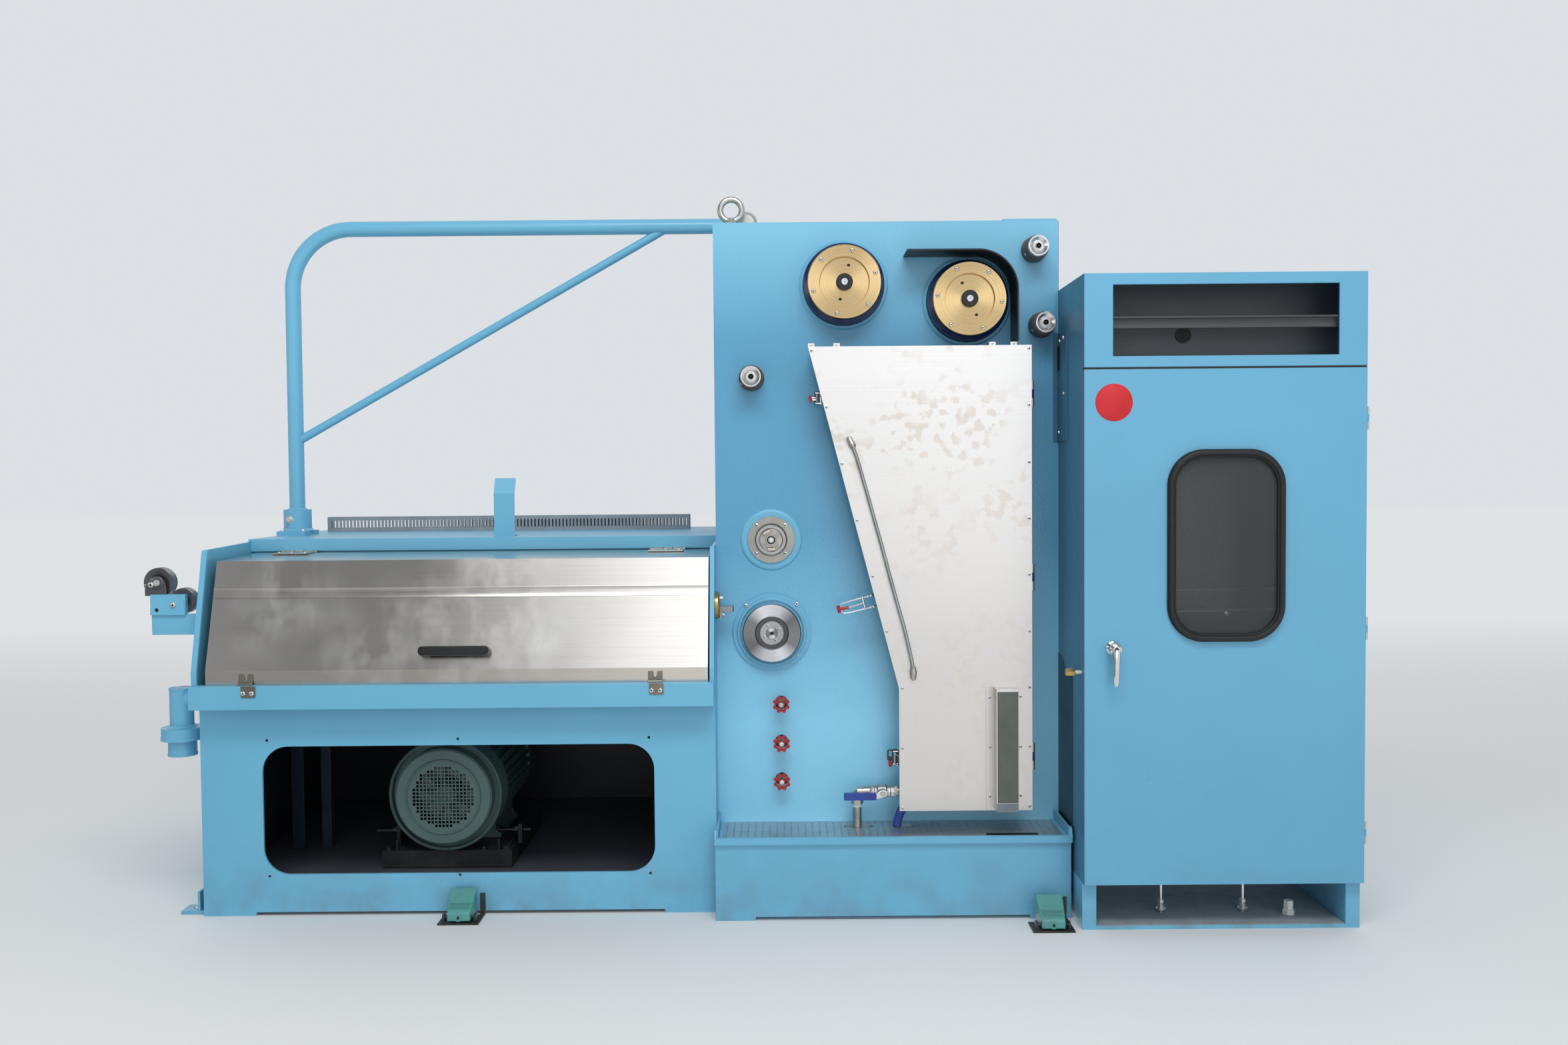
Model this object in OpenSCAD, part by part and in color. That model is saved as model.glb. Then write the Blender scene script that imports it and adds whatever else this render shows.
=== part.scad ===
// Wire drawing machine with continuous annealer and control cabinet.
// Millimetres. X runs to the right, Y to the back, Z up.
// X = 0 is the tower's left side, Y = 0 its front panel, Z = 0 the floor.

/* [Drawing section] */
// Length of the drawing section, from the tower to its left end
draw_len = 1428; // [1350:1:1600]
// Height of the base up to the tub's floor
base_h = 588; // [540:1:640]
// How far the base's front plate stands before the tower panel
base_front = 130; // [100:1:150]
// Plate thickness of the base
base_wall = 8; // [6:1:12]
// Height of the motor floor's upper side
motor_floor_h = 66; // [50:1:90]
// Width of the window in the base's front plate
window_w = 1087; // [900:1:1150]
// Lower edge of the base window
window_low = 116; // [100:1:140]
// Upper edge of the base window
window_high = 474; // [420:1:500]
// Corner radius of the base window
window_r = 72; // [40:1:90]
// Width of each foot under the front plates
foot_w = 145; // [100:1:180]
// Height of the feet
foot_h = 10; // [6:1:16]

/* [Tub and hood] */
// How far the tub's ledge stands before the tower panel
ledge_front = 200; // [180:1:230]
// Height of the ledge's face
ledge_h = 64; // [50:1:90]
// Width of the rim that the hood closes on
ledge_rim = 38; // [30:1:50]
// Distance from the tower panel back to the gearbox face
gearbox_front = 240; // [220:1:300]
// Height of the deck's upper side
deck_h = 1034; // [1000:1:1080]
// Thickness of the deck plate
deck_t = 8; // [6:1:12]
// Height of the deck's front flange
deck_flange = 38; // [30:1:50]
// Sheet thickness of the stainless hood
hood_t = 3; // [2:0.5:4]
// Gap between the left cheek and the hood
hood_side_gap = 20; // [12:1:30]
// Gap between the right cheek and the hood
hood_right_gap = 5; // [5:1:12]
// How far the hood's top edge stands before the tower panel
hood_top_front = 75; // [50:1:90]
// How far the hood's lower edge stands before the tower panel
hood_low_front = 168; // [150:1:175]
// How much the hood's top falls to the front
hood_fall = 7; // [0:1:12]
// Height of the bottom flange of the hood
hood_flange = 38; // [25:1:50]
// Width of the folded front edge of each cheek
cheek_fold = 15; // [10:1:18]
// Width of the folded front edge of the right cheek
right_fold = 12; // [10:1:18]

/* [Drawing capstans] */
// Number of capstans in each row
capstan_count = 6; // [4:1:7]
// Diameter of the largest step of a capstan
capstan_d = 150; // [120:1:160]

/* [Handrail] */
// Outer diameter of the rail
rail_d = 48.3; // [42:0.1:52]
// Height of the rail's centreline above the tower's roof
rail_above = 84; // [60:1:130]
// Bend radius of the rail's centreline
rail_bend = 190; // [150:1:240]
// Distance of the post from the left end
rail_post_in = 52; // [45:1:80]
// Distance of the rail behind the tower panel
rail_back = 505; // [450:1:560]
// Diameter of the slanting brace
brace_d = 27; // [20:1:34]

/* [Tower] */
// Width of the tower
tower_w = 978; // [940:1:1020]
// Height of the tower
tower_h = 1930; // [1900:1:1980]
// Depth of the tower behind its front panel
tower_d = 950; // [900:1:1050]

/* [Wheels on the tower] */
// Diameter of a contact wheel's brass disc
contact_d = 207; // [190:1:220]
// How far a contact wheel's face stands out of the panel
contact_out = 70; // [60:1:90]
// Diameter of a guide pulley's turned face
pulley_d = 59; // [50:1:66]
// How far a guide pulley's face stands out of the panel
pulley_out = 76; // [60:1:90]
// Diameter of the tension wheel
tension_d = 86; // [76:1:96]
// Diameter of the pulling capstan
pull_d = 165; // [150:1:176]
// Diameter of each red handwheel
handwheel_d = 50; // [44:1:56]

/* [Annealer] */
// Depth of the annealer from the panel to the cover's face
annealer_out = 110; // [100:1:124]
// Height of the cover's upper edge
cover_high = 1568; // [1530:1:1580]
// Height of the cover's lower edge
cover_low = 274; // [265:1:300]
// Place of the cover's left edge at the top
cover_left_top = 265; // [250:1:290]
// Place of the cover's left edge below the slant
cover_left_low = 511; // [490:1:530]
// Height at which the slanting edge ends
cover_kink = 619; // [600:1:680]
// Place of the cover's right edge
cover_right = 882; // [860:1:884]
// Thickness of the stainless cover plate
cover_t = 4; // [3:0.5:6]
// Wall thickness of the annealer box
annealer_wall = 6; // [4:1:8]

/* [Tray] */
// How far the tray's skirt stands before the panel
skirt_out = 205; // [200:1:230]
// Height of the skirt
skirt_h = 208; // [190:1:216]
// Height of the perforated plate's upper side
tray_plate_h = 219; // [217:1:230]
// Height of the tray's side walls
tray_wall_h = 248; // [240:1:258]

/* [Cabinet] */
// Width of the cabinet
cab_w = 737; // [700:1:800]
// Height of the cabinet's top
cab_h = 1731; // [1700:1:1800]
// Depth of the cabinet's body
cab_d = 550; // [500:1:620]
// How far the cabinet's body stands before the tower panel
cab_front = 300; // [280:1:330]
// Sheet thickness of the cabinet
cab_wall = 8; // [6:1:12]
// Thickness of the door
door_t = 25; // [20:1:30]
// Height of the door's lower edge
door_low = 127; // [115:1:140]
// Height of the door's upper edge
door_high = 1482; // [1440:1:1500]
// Width of the door window's gasket, outside
door_window_w = 307; // [280:1:330]
// Height of the door window's gasket, outside
door_window_h = 503; // [480:1:540]

/* [Hidden] */
$fn = 48;

// Gap of a moving piece to what it runs in
run_gap = 0.3;
// Radial gap of a shaft in its hole
run_fit = 0.05;
// Gap of a moving panel to what it closes on
close_gap = 0.5;
draw_x = -draw_len;
rear_y = tower_d;
base_front_y = -base_front;
ledge_y = -ledge_front;
tub_floor_top = base_h + base_wall;
ledge_top = base_h + ledge_h;

// Rounded rectangle with its lower left corner at the origin
module rounded_rect(w, h, r) {
    translate([r, 0]) square([w - 2 * r, h]);
    translate([0, r]) square([w, h - 2 * r]);
    for (x = [r, w - r], y = [r, h - r]) translate([x, y]) circle(r = r);
}

// Stands a drawing made in X and Z up in the plane Y = y, its thickness going back
module stand(y, t) {
    translate([0, y + t, 0]) rotate([90, 0, 0]) linear_extrude(t) children();
}

// Turned piece on an axis along Y: its profile is given as radius and distance before the panel
module turned_out(x, z, profile) {
    translate([x, 0, z]) rotate([90, 0, 0]) rotate_extrude() polygon(profile);
}

// Plain round bar along Y from y0 to y1
module bar_y(x, z, r, y0, y1) {
    translate([x, y1, z]) rotate([90, 0, 0]) cylinder(r = r, h = y1 - y0);
}

// Ring on an axis along Y, from near to far before the panel
module bar_ring(x, z, r0, r1, near, far) {
    turned_out(x, z, [[r0, near], [r1, near], [r1, far], [r0, far]]);
}

// Plain round bar along X from x0 to x1
module bar_x(y, z, r, x0, x1) {
    translate([x0, y, z]) rotate([0, 90, 0]) cylinder(r = r, h = x1 - x0);
}

// Copies of a drawing round its own origin
module around(n, start = 0) {
    for (i = [0 : n - 1]) rotate([0, 0, start + i * 360 / n]) children();
}

// Extrudes a drawing made in Y and Z along X
module along_x(x0, x1) {
    translate([x0, 0, 0]) rotate([90, 0, 90]) linear_extrude(x1 - x0) children();
}

paint = "#6db3d6";
navy = "#16365f";
steel = "#b9b6b0";

window_x = draw_x + (draw_len - window_w) / 2;
cover_hole_xs = [window_x + 14, window_x + window_w / 2, window_x + window_w - 14];
cover_hole_zs = [window_high + 17, window_low - 5];
module base_front_plate() {
    color(paint) difference() {
        stand(base_front_y, base_wall) translate([draw_x, 0]) square([draw_len, base_h]);
        stand(base_front_y - 1, base_wall + 2) {
            translate([window_x, window_low]) rounded_rect(window_w, window_high - window_low, window_r);
            translate([draw_x + foot_w, -1]) square([draw_len - 2 * foot_w, foot_h + 1]);
            for (x = cover_hole_xs, z = cover_hole_zs) translate([x, z]) circle(r = 4);
        }
    }
}

module base_frame() {
    color(paint) {
        y0 = base_front_y + base_wall;
        difference() {
            translate([draw_x, y0, 0]) cube([draw_len, rear_y - y0, base_h]);
            translate([draw_x + base_wall, y0 - 1, -1])
                cube([draw_len - 2 * base_wall, rear_y - base_wall - y0 + 1, base_h + 2]);
            translate([draw_x + foot_w, rear_y - base_wall - 1, -1])
                cube([draw_len - 2 * foot_w, base_wall + 2, foot_h + 1]);
        }
    }
}

module base_floor() {
    color("#23252b") translate([draw_x + base_wall, base_front_y + base_wall, motor_floor_h - base_wall])
        cube([draw_len - 2 * base_wall, rear_y - base_front_y - 2 * base_wall, base_wall]);
}

motor_x = -804;
motor_frame = 168;
motor_r = 165;
slide_h = 52;
motor_z = motor_floor_h + slide_h + motor_frame;
cowl_y = 50;
cowl_len = 120;
motor_len = 420;
motor_ribs = 36;
fan_blades = 9;
module motor_body() {
    color("#4f6f70") {
        stand(cowl_y + cowl_len, motor_len) translate([motor_x, motor_z]) {
            circle(r = motor_r - 26);
            around(motor_ribs) translate([0, -1.5]) square([motor_r - 8, 3]);
        }
        bar_y(motor_x, motor_z, motor_r - cowl_sheet, cowl_y + cowl_len - 14, cowl_y + cowl_len + 8);
        stand(cowl_y + 14, cowl_len - 14) translate([motor_x, motor_z]) {
            circle(r = 30);
            around(fan_blades, 12) translate([0, -1.5]) square([116, 3]);
        }
        translate([motor_x - 66, cowl_y + cowl_len + 90, motor_z + motor_r - 30]) cube([132, 140, 66]);
        bar_y(motor_x, motor_z, 24, cowl_y + cowl_len + motor_len, cowl_y + cowl_len + motor_len + 110);
        translate([motor_x - 127, cowl_y + cowl_len + 60, motor_z - motor_frame])
            cube([254, 250, 22]);
        for (s = [-1, 1]) translate([motor_x + s * 100 - 12, cowl_y + cowl_len + 60, motor_z - motor_frame])
            cube([24, 250, 60]);
    }
}

cowl_sheet = 4;
cowl_face_r = 141;
cowl_step = 50;
grille_r = 94;
grille_pitch = 10.6;
grille_hole = 7.8;
module motor_cowl() {
    back = -cowl_y - cowl_len;
    color("#7f9c9a") {
        turned_out(motor_x, motor_z, [[grille_r + 2, -cowl_y - cowl_sheet], [grille_r + 2, -cowl_y],
            [104, -cowl_y], [106, -cowl_y + 4], [109, -cowl_y + 4], [111, -cowl_y],
            [cowl_face_r - 5, -cowl_y], [cowl_face_r, -cowl_y - 5], [cowl_face_r, -cowl_y - cowl_step],
            [motor_r - 8, -cowl_y - cowl_step], [motor_r - 8, -cowl_y - 26], [motor_r - 4, -cowl_y - 22],
            [motor_r, -cowl_y - 26], [motor_r, back], [motor_r - cowl_sheet, back],
            [motor_r - cowl_sheet, -cowl_y - cowl_step - cowl_sheet],
            [cowl_face_r - cowl_sheet, -cowl_y - cowl_step - cowl_sheet],
            [cowl_face_r - cowl_sheet, -cowl_y - cowl_sheet]]);
        stand(cowl_y, 3) translate([motor_x, motor_z]) difference() {
            circle(r = grille_r + 4);
            for (i = [-8 : 8], j = [-8 : 8]) if (norm([i, j]) * grille_pitch < grille_r - 4)
                translate([i * grille_pitch, j * grille_pitch]) square(grille_hole, center = true);
        }
    }
}

slide_w = 380;
slide_d = 480;
slide_y = 88;
module motor_slide_base() {
    color("#2b2d33") translate([motor_x - slide_w / 2, slide_y, motor_floor_h])
        cube([slide_w, slide_d, slide_h]);
}

gearbox_y = gearbox_front;
module gearbox_housing() {
    color(paint) translate([draw_x, gearbox_y, base_h])
        cube([draw_len, rear_y - gearbox_y, deck_h - deck_t - base_h]);
}

module tub() {
    color(paint) along_x(draw_x, 0) polygon([
        [ledge_y, base_h], [gearbox_y, base_h], [gearbox_y, tub_floor_top],
        [ledge_y + base_wall, tub_floor_top], [ledge_y + base_wall, ledge_top - base_wall],
        [ledge_y + ledge_rim, ledge_top - base_wall], [ledge_y + ledge_rim, ledge_top],
        [ledge_y, ledge_top]]);
}

cheek_top_front = deck_h - 16;
cheek_low_front = 178;
cheek_high_front = 92;
cheek_kink = ledge_top + hood_flange;
module cheek(x, fold_x, fold_w) {
    along_x(x, x + base_wall) polygon([
        [-cheek_low_front, ledge_top], [ledge_y + ledge_rim, ledge_top],
        [ledge_y + ledge_rim, ledge_top - base_wall], [ledge_y + base_wall, ledge_top - base_wall],
        [ledge_y + base_wall, tub_floor_top], [gearbox_y, tub_floor_top], [gearbox_y, deck_h - deck_t],
        [-cheek_high_front, cheek_top_front], [-cheek_low_front, cheek_kink]]);
    along_x(fold_x, fold_x + fold_w) polygon([
        [-cheek_low_front, ledge_top], [-cheek_low_front + base_wall, ledge_top],
        [-cheek_low_front + base_wall, cheek_kink], [-cheek_high_front + base_wall, cheek_top_front],
        [-cheek_high_front, cheek_top_front], [-cheek_low_front, cheek_kink]]);
}

module end_cheeks() {
    color(paint) {
        cheek(draw_x, draw_x + base_wall, cheek_fold - base_wall);
        cheek(-base_wall, -right_fold, right_fold - base_wall);
    }
}

capstan_end = 120;
capstan_pitch = (draw_len - 2 * capstan_end) / (capstan_count - 1);
capstan_h = 150;
capstan_shaft_r = 30;
capstan_gap = 20;
capstan_step = 30;
capstan_drop = 10;
capstan_top = tub_floor_top + capstan_h + capstan_d / 2;
module draw_capstans() {
    color(steel) for (i = [0 : capstan_count - 1])
        translate([draw_x + capstan_end + i * capstan_pitch, gearbox_y, tub_floor_top + capstan_h])
            rotate([90, 0, 0]) {
                cylinder(r = capstan_shaft_r, h = capstan_gap);
                for (k = [0 : 2]) translate([0, 0, capstan_gap])
                    cylinder(r = capstan_d / 2 - k * capstan_drop, h = (k + 1) * capstan_step);
            }
}

module spray_pipe() {
    color("#c9a24b")
        bar_x(gearbox_y - 60, (capstan_top + hinge_z) / 2, 14, draw_x + base_wall, -base_wall);
}

stop_x = -693;
stop_w = 63;
stop_y = 280;
stop_t = 5;
stop_foot = 40;
stop_h = 130;
stop_lean = [26, 49];
hinge_y = gearbox_y - 25;
hinge_z = deck_h - deck_flange - 4;
module top_deck() {
    color(paint) {
        translate([draw_x, gearbox_y - deck_t, deck_h - deck_t]) cube([draw_len, rear_y - gearbox_y + deck_t, deck_t]);
        translate([draw_x + base_wall, gearbox_y - deck_t, deck_h - deck_flange])
            cube([draw_len - 2 * base_wall, deck_t, deck_flange - deck_t]);
        along_x(stop_x, stop_x + stop_w) polygon([
            [stop_y, deck_h - deck_t], [stop_y + stop_foot, deck_h - deck_t], [stop_y + stop_foot, deck_h + stop_t],
            [stop_y + stop_t, deck_h + stop_t], [stop_y + stop_t, deck_h + stop_h],
            [stop_y + stop_lean[0] + stop_t, deck_h + stop_h + stop_lean[1] - 3],
            [stop_y + stop_lean[0], deck_h + stop_h + stop_lean[1]], [stop_y, deck_h + stop_h + 2]]);
    }
}

// Outer thirds of a barrel hinge with its pin, on an axis along Z
module fixed_knuckles(x, y, z, r, len) {
    for (s = [-1, 1]) translate([x, y, z + s * len / 3 - len / 6]) cylinder(r = r, h = len / 3);
    translate([x, y, z - len / 2]) cylinder(r = r / 2, h = len);
}

// Middle third of the same hinge
module moving_knuckle(x, y, z, r, len) {
    translate([x, y, z - len / 6 + run_gap]) difference() {
        cylinder(r = r, h = len / 3 - 2 * run_gap);
        translate([0, 0, -1]) cylinder(r = r / 2 + run_fit, h = len);
    }
}

hood_knuckle_r = 8;
hood_knuckle_len = 105;
hood_knuckle_x = [-1266, -156];
ann_knuckle_r = 6;
ann_knuckle_len = 75;
ann_knuckle_x = cover_right + ann_knuckle_r;
ann_knuckle_zs = [420, 924, 1435];
cab_knuckle_r = 4;
cab_knuckle_len = 60;
cab_knuckle_zs = [260, 800, 1350];
module hinge_leaves() {
    color(paint) for (x = hood_knuckle_x) {
        translate([0, hinge_y, hinge_z]) rotate([0, 90, 0])
            fixed_knuckles(0, 0, x, hood_knuckle_r, hood_knuckle_len);
        for (s = [-1, 1]) translate([x + s * hood_knuckle_len / 3 - hood_knuckle_len / 6, hinge_y, deck_h - deck_flange])
            cube([hood_knuckle_len / 3, gearbox_y - deck_t - hinge_y, 4]);
    }
    color("silver") for (z = ann_knuckle_zs) {
        fixed_knuckles(ann_knuckle_x, ann_knuckle_y, z, ann_knuckle_r, ann_knuckle_len);
        for (s = [-1, 1]) translate([cover_right - cover_over, ann_knuckle_y + close_gap / 2, z + s * ann_knuckle_len / 3 - ann_knuckle_len / 6])
            cube([cover_over + ann_knuckle_r, 4, ann_knuckle_len / 3]);
    }
    color("silver") for (z = cab_knuckle_zs) {
        fixed_knuckles(cab_knuckle_x, cab_knuckle_y, z, cab_knuckle_r, cab_knuckle_len);
        for (s = [-1, 1]) translate([0, 0, z + s * cab_knuckle_len / 3 - cab_knuckle_len / 6]) {
            translate([cab_x + cab_w + 1, cab_knuckle_y, 0]) cube([3, cab_y + 30 - cab_knuckle_y, cab_knuckle_len / 3]);
            translate([cab_x + cab_w, cab_y + 1, 0]) cube([4, 29, cab_knuckle_len / 3]);
        }
    }
}

duct_x = draw_x + 60;
duct_y = 762;
duct_len = 1240;
duct_w = 40;
duct_h = 50;
slot_pitch = 12;
module cable_duct() {
    color("#9a9ea2") {
        for (z = [deck_h, deck_h + duct_h - 3]) translate([duct_x, duct_y, z]) cube([duct_len, duct_w, 3]);
        for (y = [duct_y, duct_y + duct_w - 2]) stand(y, 2) translate([duct_x, deck_h]) difference() {
            square([duct_len, duct_h]);
            for (i = [1 : floor(duct_len / slot_pitch) - 1]) translate([i * slot_pitch, 12]) square([5, 26]);
        }
    }
}

post_x = draw_x + rail_post_in;
rail_h = tower_h + rail_above;
rail_end_x = 60;
rail_foot_t = 15;
roof_socket_h = 40;
rail_foot = [90, 130];
rail_socket_r = 43;
rail_socket_h = 68;
brace_rise = 299;
brace_low = deck_h + brace_rise;
brace_end_x = -164;
brace_tilt = atan2(brace_end_x - post_x, rail_h - brace_low);
module handrail() {
    r = rail_d / 2;
    color(paint) {
        translate([post_x - rail_foot[0] / 2, rail_back - rail_foot[1] / 2, deck_h])
            cube([rail_foot[0], rail_foot[1], rail_foot_t]);
        translate([post_x, rail_back, deck_h + rail_foot_t]) cylinder(r = rail_socket_r, h = rail_socket_h);
        translate([post_x, rail_back, deck_h + rail_foot_t + rail_socket_h])
            cylinder(r = r, h = rail_h - rail_bend - deck_h - rail_foot_t - rail_socket_h);
        translate([post_x + rail_bend, rail_back, rail_h - rail_bend]) rotate([90, 0, 0])
            rotate([0, 0, 90]) rotate_extrude(angle = 90) translate([rail_bend, 0]) circle(r = r);
        bar_x(rail_back, rail_h, r, post_x + rail_bend, rail_end_x);
        translate([post_x, rail_back, brace_low]) rotate([0, brace_tilt, 0])
            cylinder(r = brace_d / 2, h = norm([rail_h - brace_low, brace_end_x - post_x]));
        elbow_r = rail_h - tower_h - roof_socket_h / 2;
        translate([rail_end_x, rail_back, rail_h - elbow_r]) rotate([90, 0, 0])
            rotate_extrude(angle = 90) translate([elbow_r, 0]) circle(r = r);
        translate([rail_end_x + elbow_r, rail_back, tower_h]) cylinder(r = r + 14, h = roof_socket_h / 2);
    }
}

roller_rear = [draw_x - 122, 929];
roller_front = [draw_x - 55, 878];
roller_y = -92;
roller_t = 26;
lug_w = 72;
lug_d = 60;
lug_t = 10;
lug_ys = [base_front_y + 46, rear_y - 46];
lug_hole_r = 8;
module floor_lugs() {
    color(paint) for (y = lug_ys) difference() {
        union() {
            translate([draw_x - lug_w, y - lug_d / 2, 0]) cube([lug_w, lug_d, lug_t]);
            translate([draw_x - base_wall, y - lug_d / 2, lug_t]) cube([base_wall, lug_d, lug_d]);
        }
        translate([draw_x - lug_w / 2 - 4, y, -1]) cylinder(r = lug_hole_r, h = lug_t + 2);
    }
}

module roller_bracket() {
    color(paint) {
        translate([draw_x - 139, roller_y - 8, 784]) cube([139, 8, 58]);
        translate([draw_x - 139, roller_y - 16, 840]) cube([97, 16, 57]);
        for (at = [roller_rear, roller_front])
            translate([at[0] - 8, roller_y - 8, at[1] - 40]) cube([16, 8 - run_gap, 44]);
        for (at = [roller_rear, roller_front])
            bar_y(at[0], at[1], stem_r, roller_y - 8, roller_y + roller_t + 6);
    }
}

spout_out = 80;
spout_y = -60;
spout_z = base_h + 12;
module drain_spout() {
    color(paint) {
        translate([draw_x - spout_out, spout_y, spout_z - 161]) cylinder(r = 38, h = 46);
        translate([draw_x - spout_out, spout_y, spout_z - 116]) cylinder(r = 55, h = 34);
        translate([draw_x - spout_out, spout_y, spout_z - 82]) cylinder(r = 32, h = 112);
        bar_x(spout_y, spout_z, 28, draw_x - spout_out, draw_x);
    }
}

shaft_in = 60;
module tower_housing() {
    color(paint) {
        difference() {
            translate([0, 0, foot_h]) cube([tower_w, tower_d, tower_h - foot_h]);
            for (at = [tension_at, pull_at]) bar_y(at[0], at[1], shaft_r + run_fit, -1, shaft_in + 1);
        }
        for (x = [0, tower_w - foot_w * 0.75]) translate([x, 0, 0]) cube([foot_w * 0.75, tower_d, foot_h]);
    }
}

eye_x = 50;
module lifting_eye() {
    color("silver") translate([eye_x, 60, tower_h]) {
        cylinder(r = 18, h = 12);
        cylinder(r = 10, h = 20);
        translate([0, 0, 46]) rotate([90, 0, 0]) rotate_extrude() translate([31, 0]) circle(r = 9);
    }
}

// Wheel centres on the panel, as X and Z
contact_left = [369, 1751];
contact_right = [718, 1702];
pulley_top = [909, 1846];
pulley_middle = [929, 1634];
pulley_left = [106, 1490];
tension_at = [158, 1031];
pull_at = [158, 767];
handwheel_x = 183;
handwheel_zs = [564, 452, 343];

shaft_r = 12;
contact_back = contact_out - 26;
pulley_back = pulley_out - 24;
tension_back = 12;
pull_back = 8;
hub_r = 23;
recess = 9;
module contact_wheel(at, holes_at) {
    color("#b9975a") difference() {
        turned_out(at[0], at[1], [[0, 10], [shaft_r, 10], [shaft_r, contact_back], [contact_d / 2, contact_back],
            [contact_d / 2, contact_out - 2], [contact_d / 2 - 2, contact_out], [82, contact_out],
            [82, contact_out - 1], [80.5, contact_out - 1], [80.5, contact_out], [70, contact_out],
            [68, contact_out - recess], [hub_r, contact_out - recess], [hub_r, contact_out + 2],
            [hub_r - 2, contact_out + 3], [0, contact_out + 3]]);
        for (a = [holes_at, holes_at + 180])
            bar_y(at[0] + 49 * cos(a), at[1] + 49 * sin(a), 4, -contact_out, recess + 8 - contact_out);
    }
}

mount_step = 10;
tension_plate_r = 78;
tension_plate_t = 6;
pull_plate_r = 110;
module wheel_mounts() {
    mount_r = contact_d / 2 + mount_step;
    color(navy) for (at = [contact_left, contact_right])
        turned_out(at[0], at[1], [[0, 0], [mount_r, 0], [mount_r, contact_back - 8],
            [mount_r - 14, contact_back - run_gap], [shaft_r + run_fit, contact_back - run_gap],
            [shaft_r + run_fit, 9], [0, 9]]);
    color(paint) bar_ring(tension_at[0], tension_at[1], shaft_r + 3, tension_plate_r, 0, tension_plate_t);
    color(paint) bar_ring(pull_at[0], pull_at[1], shaft_r + 3, pull_plate_r, 0, pull_back);
}

module tension_flange() {
    color(steel) bar_ring(tension_at[0], tension_at[1], shaft_r + run_fit, tension_plate_r - 12,
        tension_plate_t, tension_back);
}

module contact_wheel_left() {
    contact_wheel(contact_left, 75);
}

module contact_wheel_right() {
    contact_wheel(contact_right, 114);
}

guard_out = 120;
guard_t = 4;
guard_left = 539;
guard_right = 846;
guard_low = cover_high + 12;
guard_high = 1832;
guard_r = 112;
module wheel_guard() {
    color(navy) stand(-guard_out, guard_out) {
        translate([guard_left, guard_high - guard_t]) square([guard_right - guard_r - guard_left, guard_t]);
        translate([guard_right - guard_t, guard_low]) square([guard_t, guard_high - guard_r - guard_low]);
        intersection() {
            translate([guard_right - guard_r, guard_high - guard_r]) difference() {
                circle(r = guard_r);
                circle(r = guard_r - guard_t);
            }
            translate([guard_right - guard_r, guard_high - guard_r]) square([guard_r, guard_r]);
        }
    }
}

module pulley(at) {
    color("silver") turned_out(at[0], at[1], [[0, 10], [shaft_r, 10], [shaft_r, pulley_back], [pulley_d / 2, pulley_back],
        [pulley_d / 2, pulley_out - 1.5], [pulley_d / 2 - 1.5, pulley_out], [pulley_d / 2 - 5, pulley_out],
        [15, pulley_out - 7], [9, pulley_out - 7], [9, pulley_out - 2], [8, pulley_out - 1], [0, pulley_out - 1]]);
}

module pulley_sleeves() {
    color("#5b4538") for (at = [pulley_top, pulley_middle, pulley_left])
        turned_out(at[0], at[1], [[0, 0], [33, 0], [33, pulley_back - run_gap], [shaft_r + run_fit, pulley_back - run_gap],
            [shaft_r + run_fit, 9], [0, 9]]);
}

module guide_pulley_top() {
    pulley(pulley_top);
}

module guide_pulley_middle() {
    pulley(pulley_middle);
}

module guide_pulley_left() {
    pulley(pulley_left);
}

kidney_turn = 68;
module tension_wheel() {
    color(steel) difference() {
        turned_out(tension_at[0], tension_at[1], [[0, -shaft_in], [shaft_r, -shaft_in],
            [shaft_r, tension_back + run_gap], [tension_d / 2, tension_back + run_gap], [tension_d / 2, 28],
            [tension_d / 2 - 2, 30], [tension_d / 2 - 9, 30], [tension_d / 2 - 12, 20], [16, 20], [16, 30],
            [15, 31], [0, 31]]);
        translate([tension_at[0], 0, tension_at[1]]) rotate([90, 0, 0]) for (a = [76, 256])
            rotate([0, 0, a]) rotate_extrude(angle = kidney_turn) translate([18, 14]) square([10, 8]);
    }
}

module pulling_capstan() {
    color(steel) turned_out(pull_at[0], pull_at[1], [[0, -shaft_in], [shaft_r, -shaft_in],
        [shaft_r, pull_back + run_gap], [pull_d / 2, pull_back + run_gap],
        [pull_d / 2, 38], [pull_d / 2 - 2, 40], [48, 40], [45, 37], [45, 30], [34, 30], [34, 36], [16, 36],
        [16, 41], [15, 42], [5, 42], [5, 37], [0, 37]]);
}

stem_r = 4;
module valve_stems() {
    color("silver") for (z = handwheel_zs) {
        bar_y(handwheel_x, z, 9, -30, 0);
        bar_y(handwheel_x, z, stem_r, -48, -30);
    }
}

handwheel_lobes = 8;
handwheel_rim = handwheel_d / 2 - 5;
module handwheel(z) {
    color("#b0202a") {
        bar_ring(handwheel_x, z, stem_r + run_fit, 9, 30 + run_gap, 46);
        stand(-43, 8) translate([handwheel_x, z]) {
            difference() {
                union() {
                    circle(r = handwheel_rim);
                    around(handwheel_lobes, 22.5) translate([handwheel_rim, 0]) circle(r = 5);
                }
                circle(r = handwheel_rim - 5);
            }
            around(3, -90) translate([7, -2.5]) square([handwheel_rim - 9, 5]);
        }
    }
}

module handwheel_top() {
    handwheel(handwheel_zs[0]);
}

module handwheel_middle() {
    handwheel(handwheel_zs[1]);
}

module handwheel_bottom() {
    handwheel(handwheel_zs[2]);
}

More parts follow.
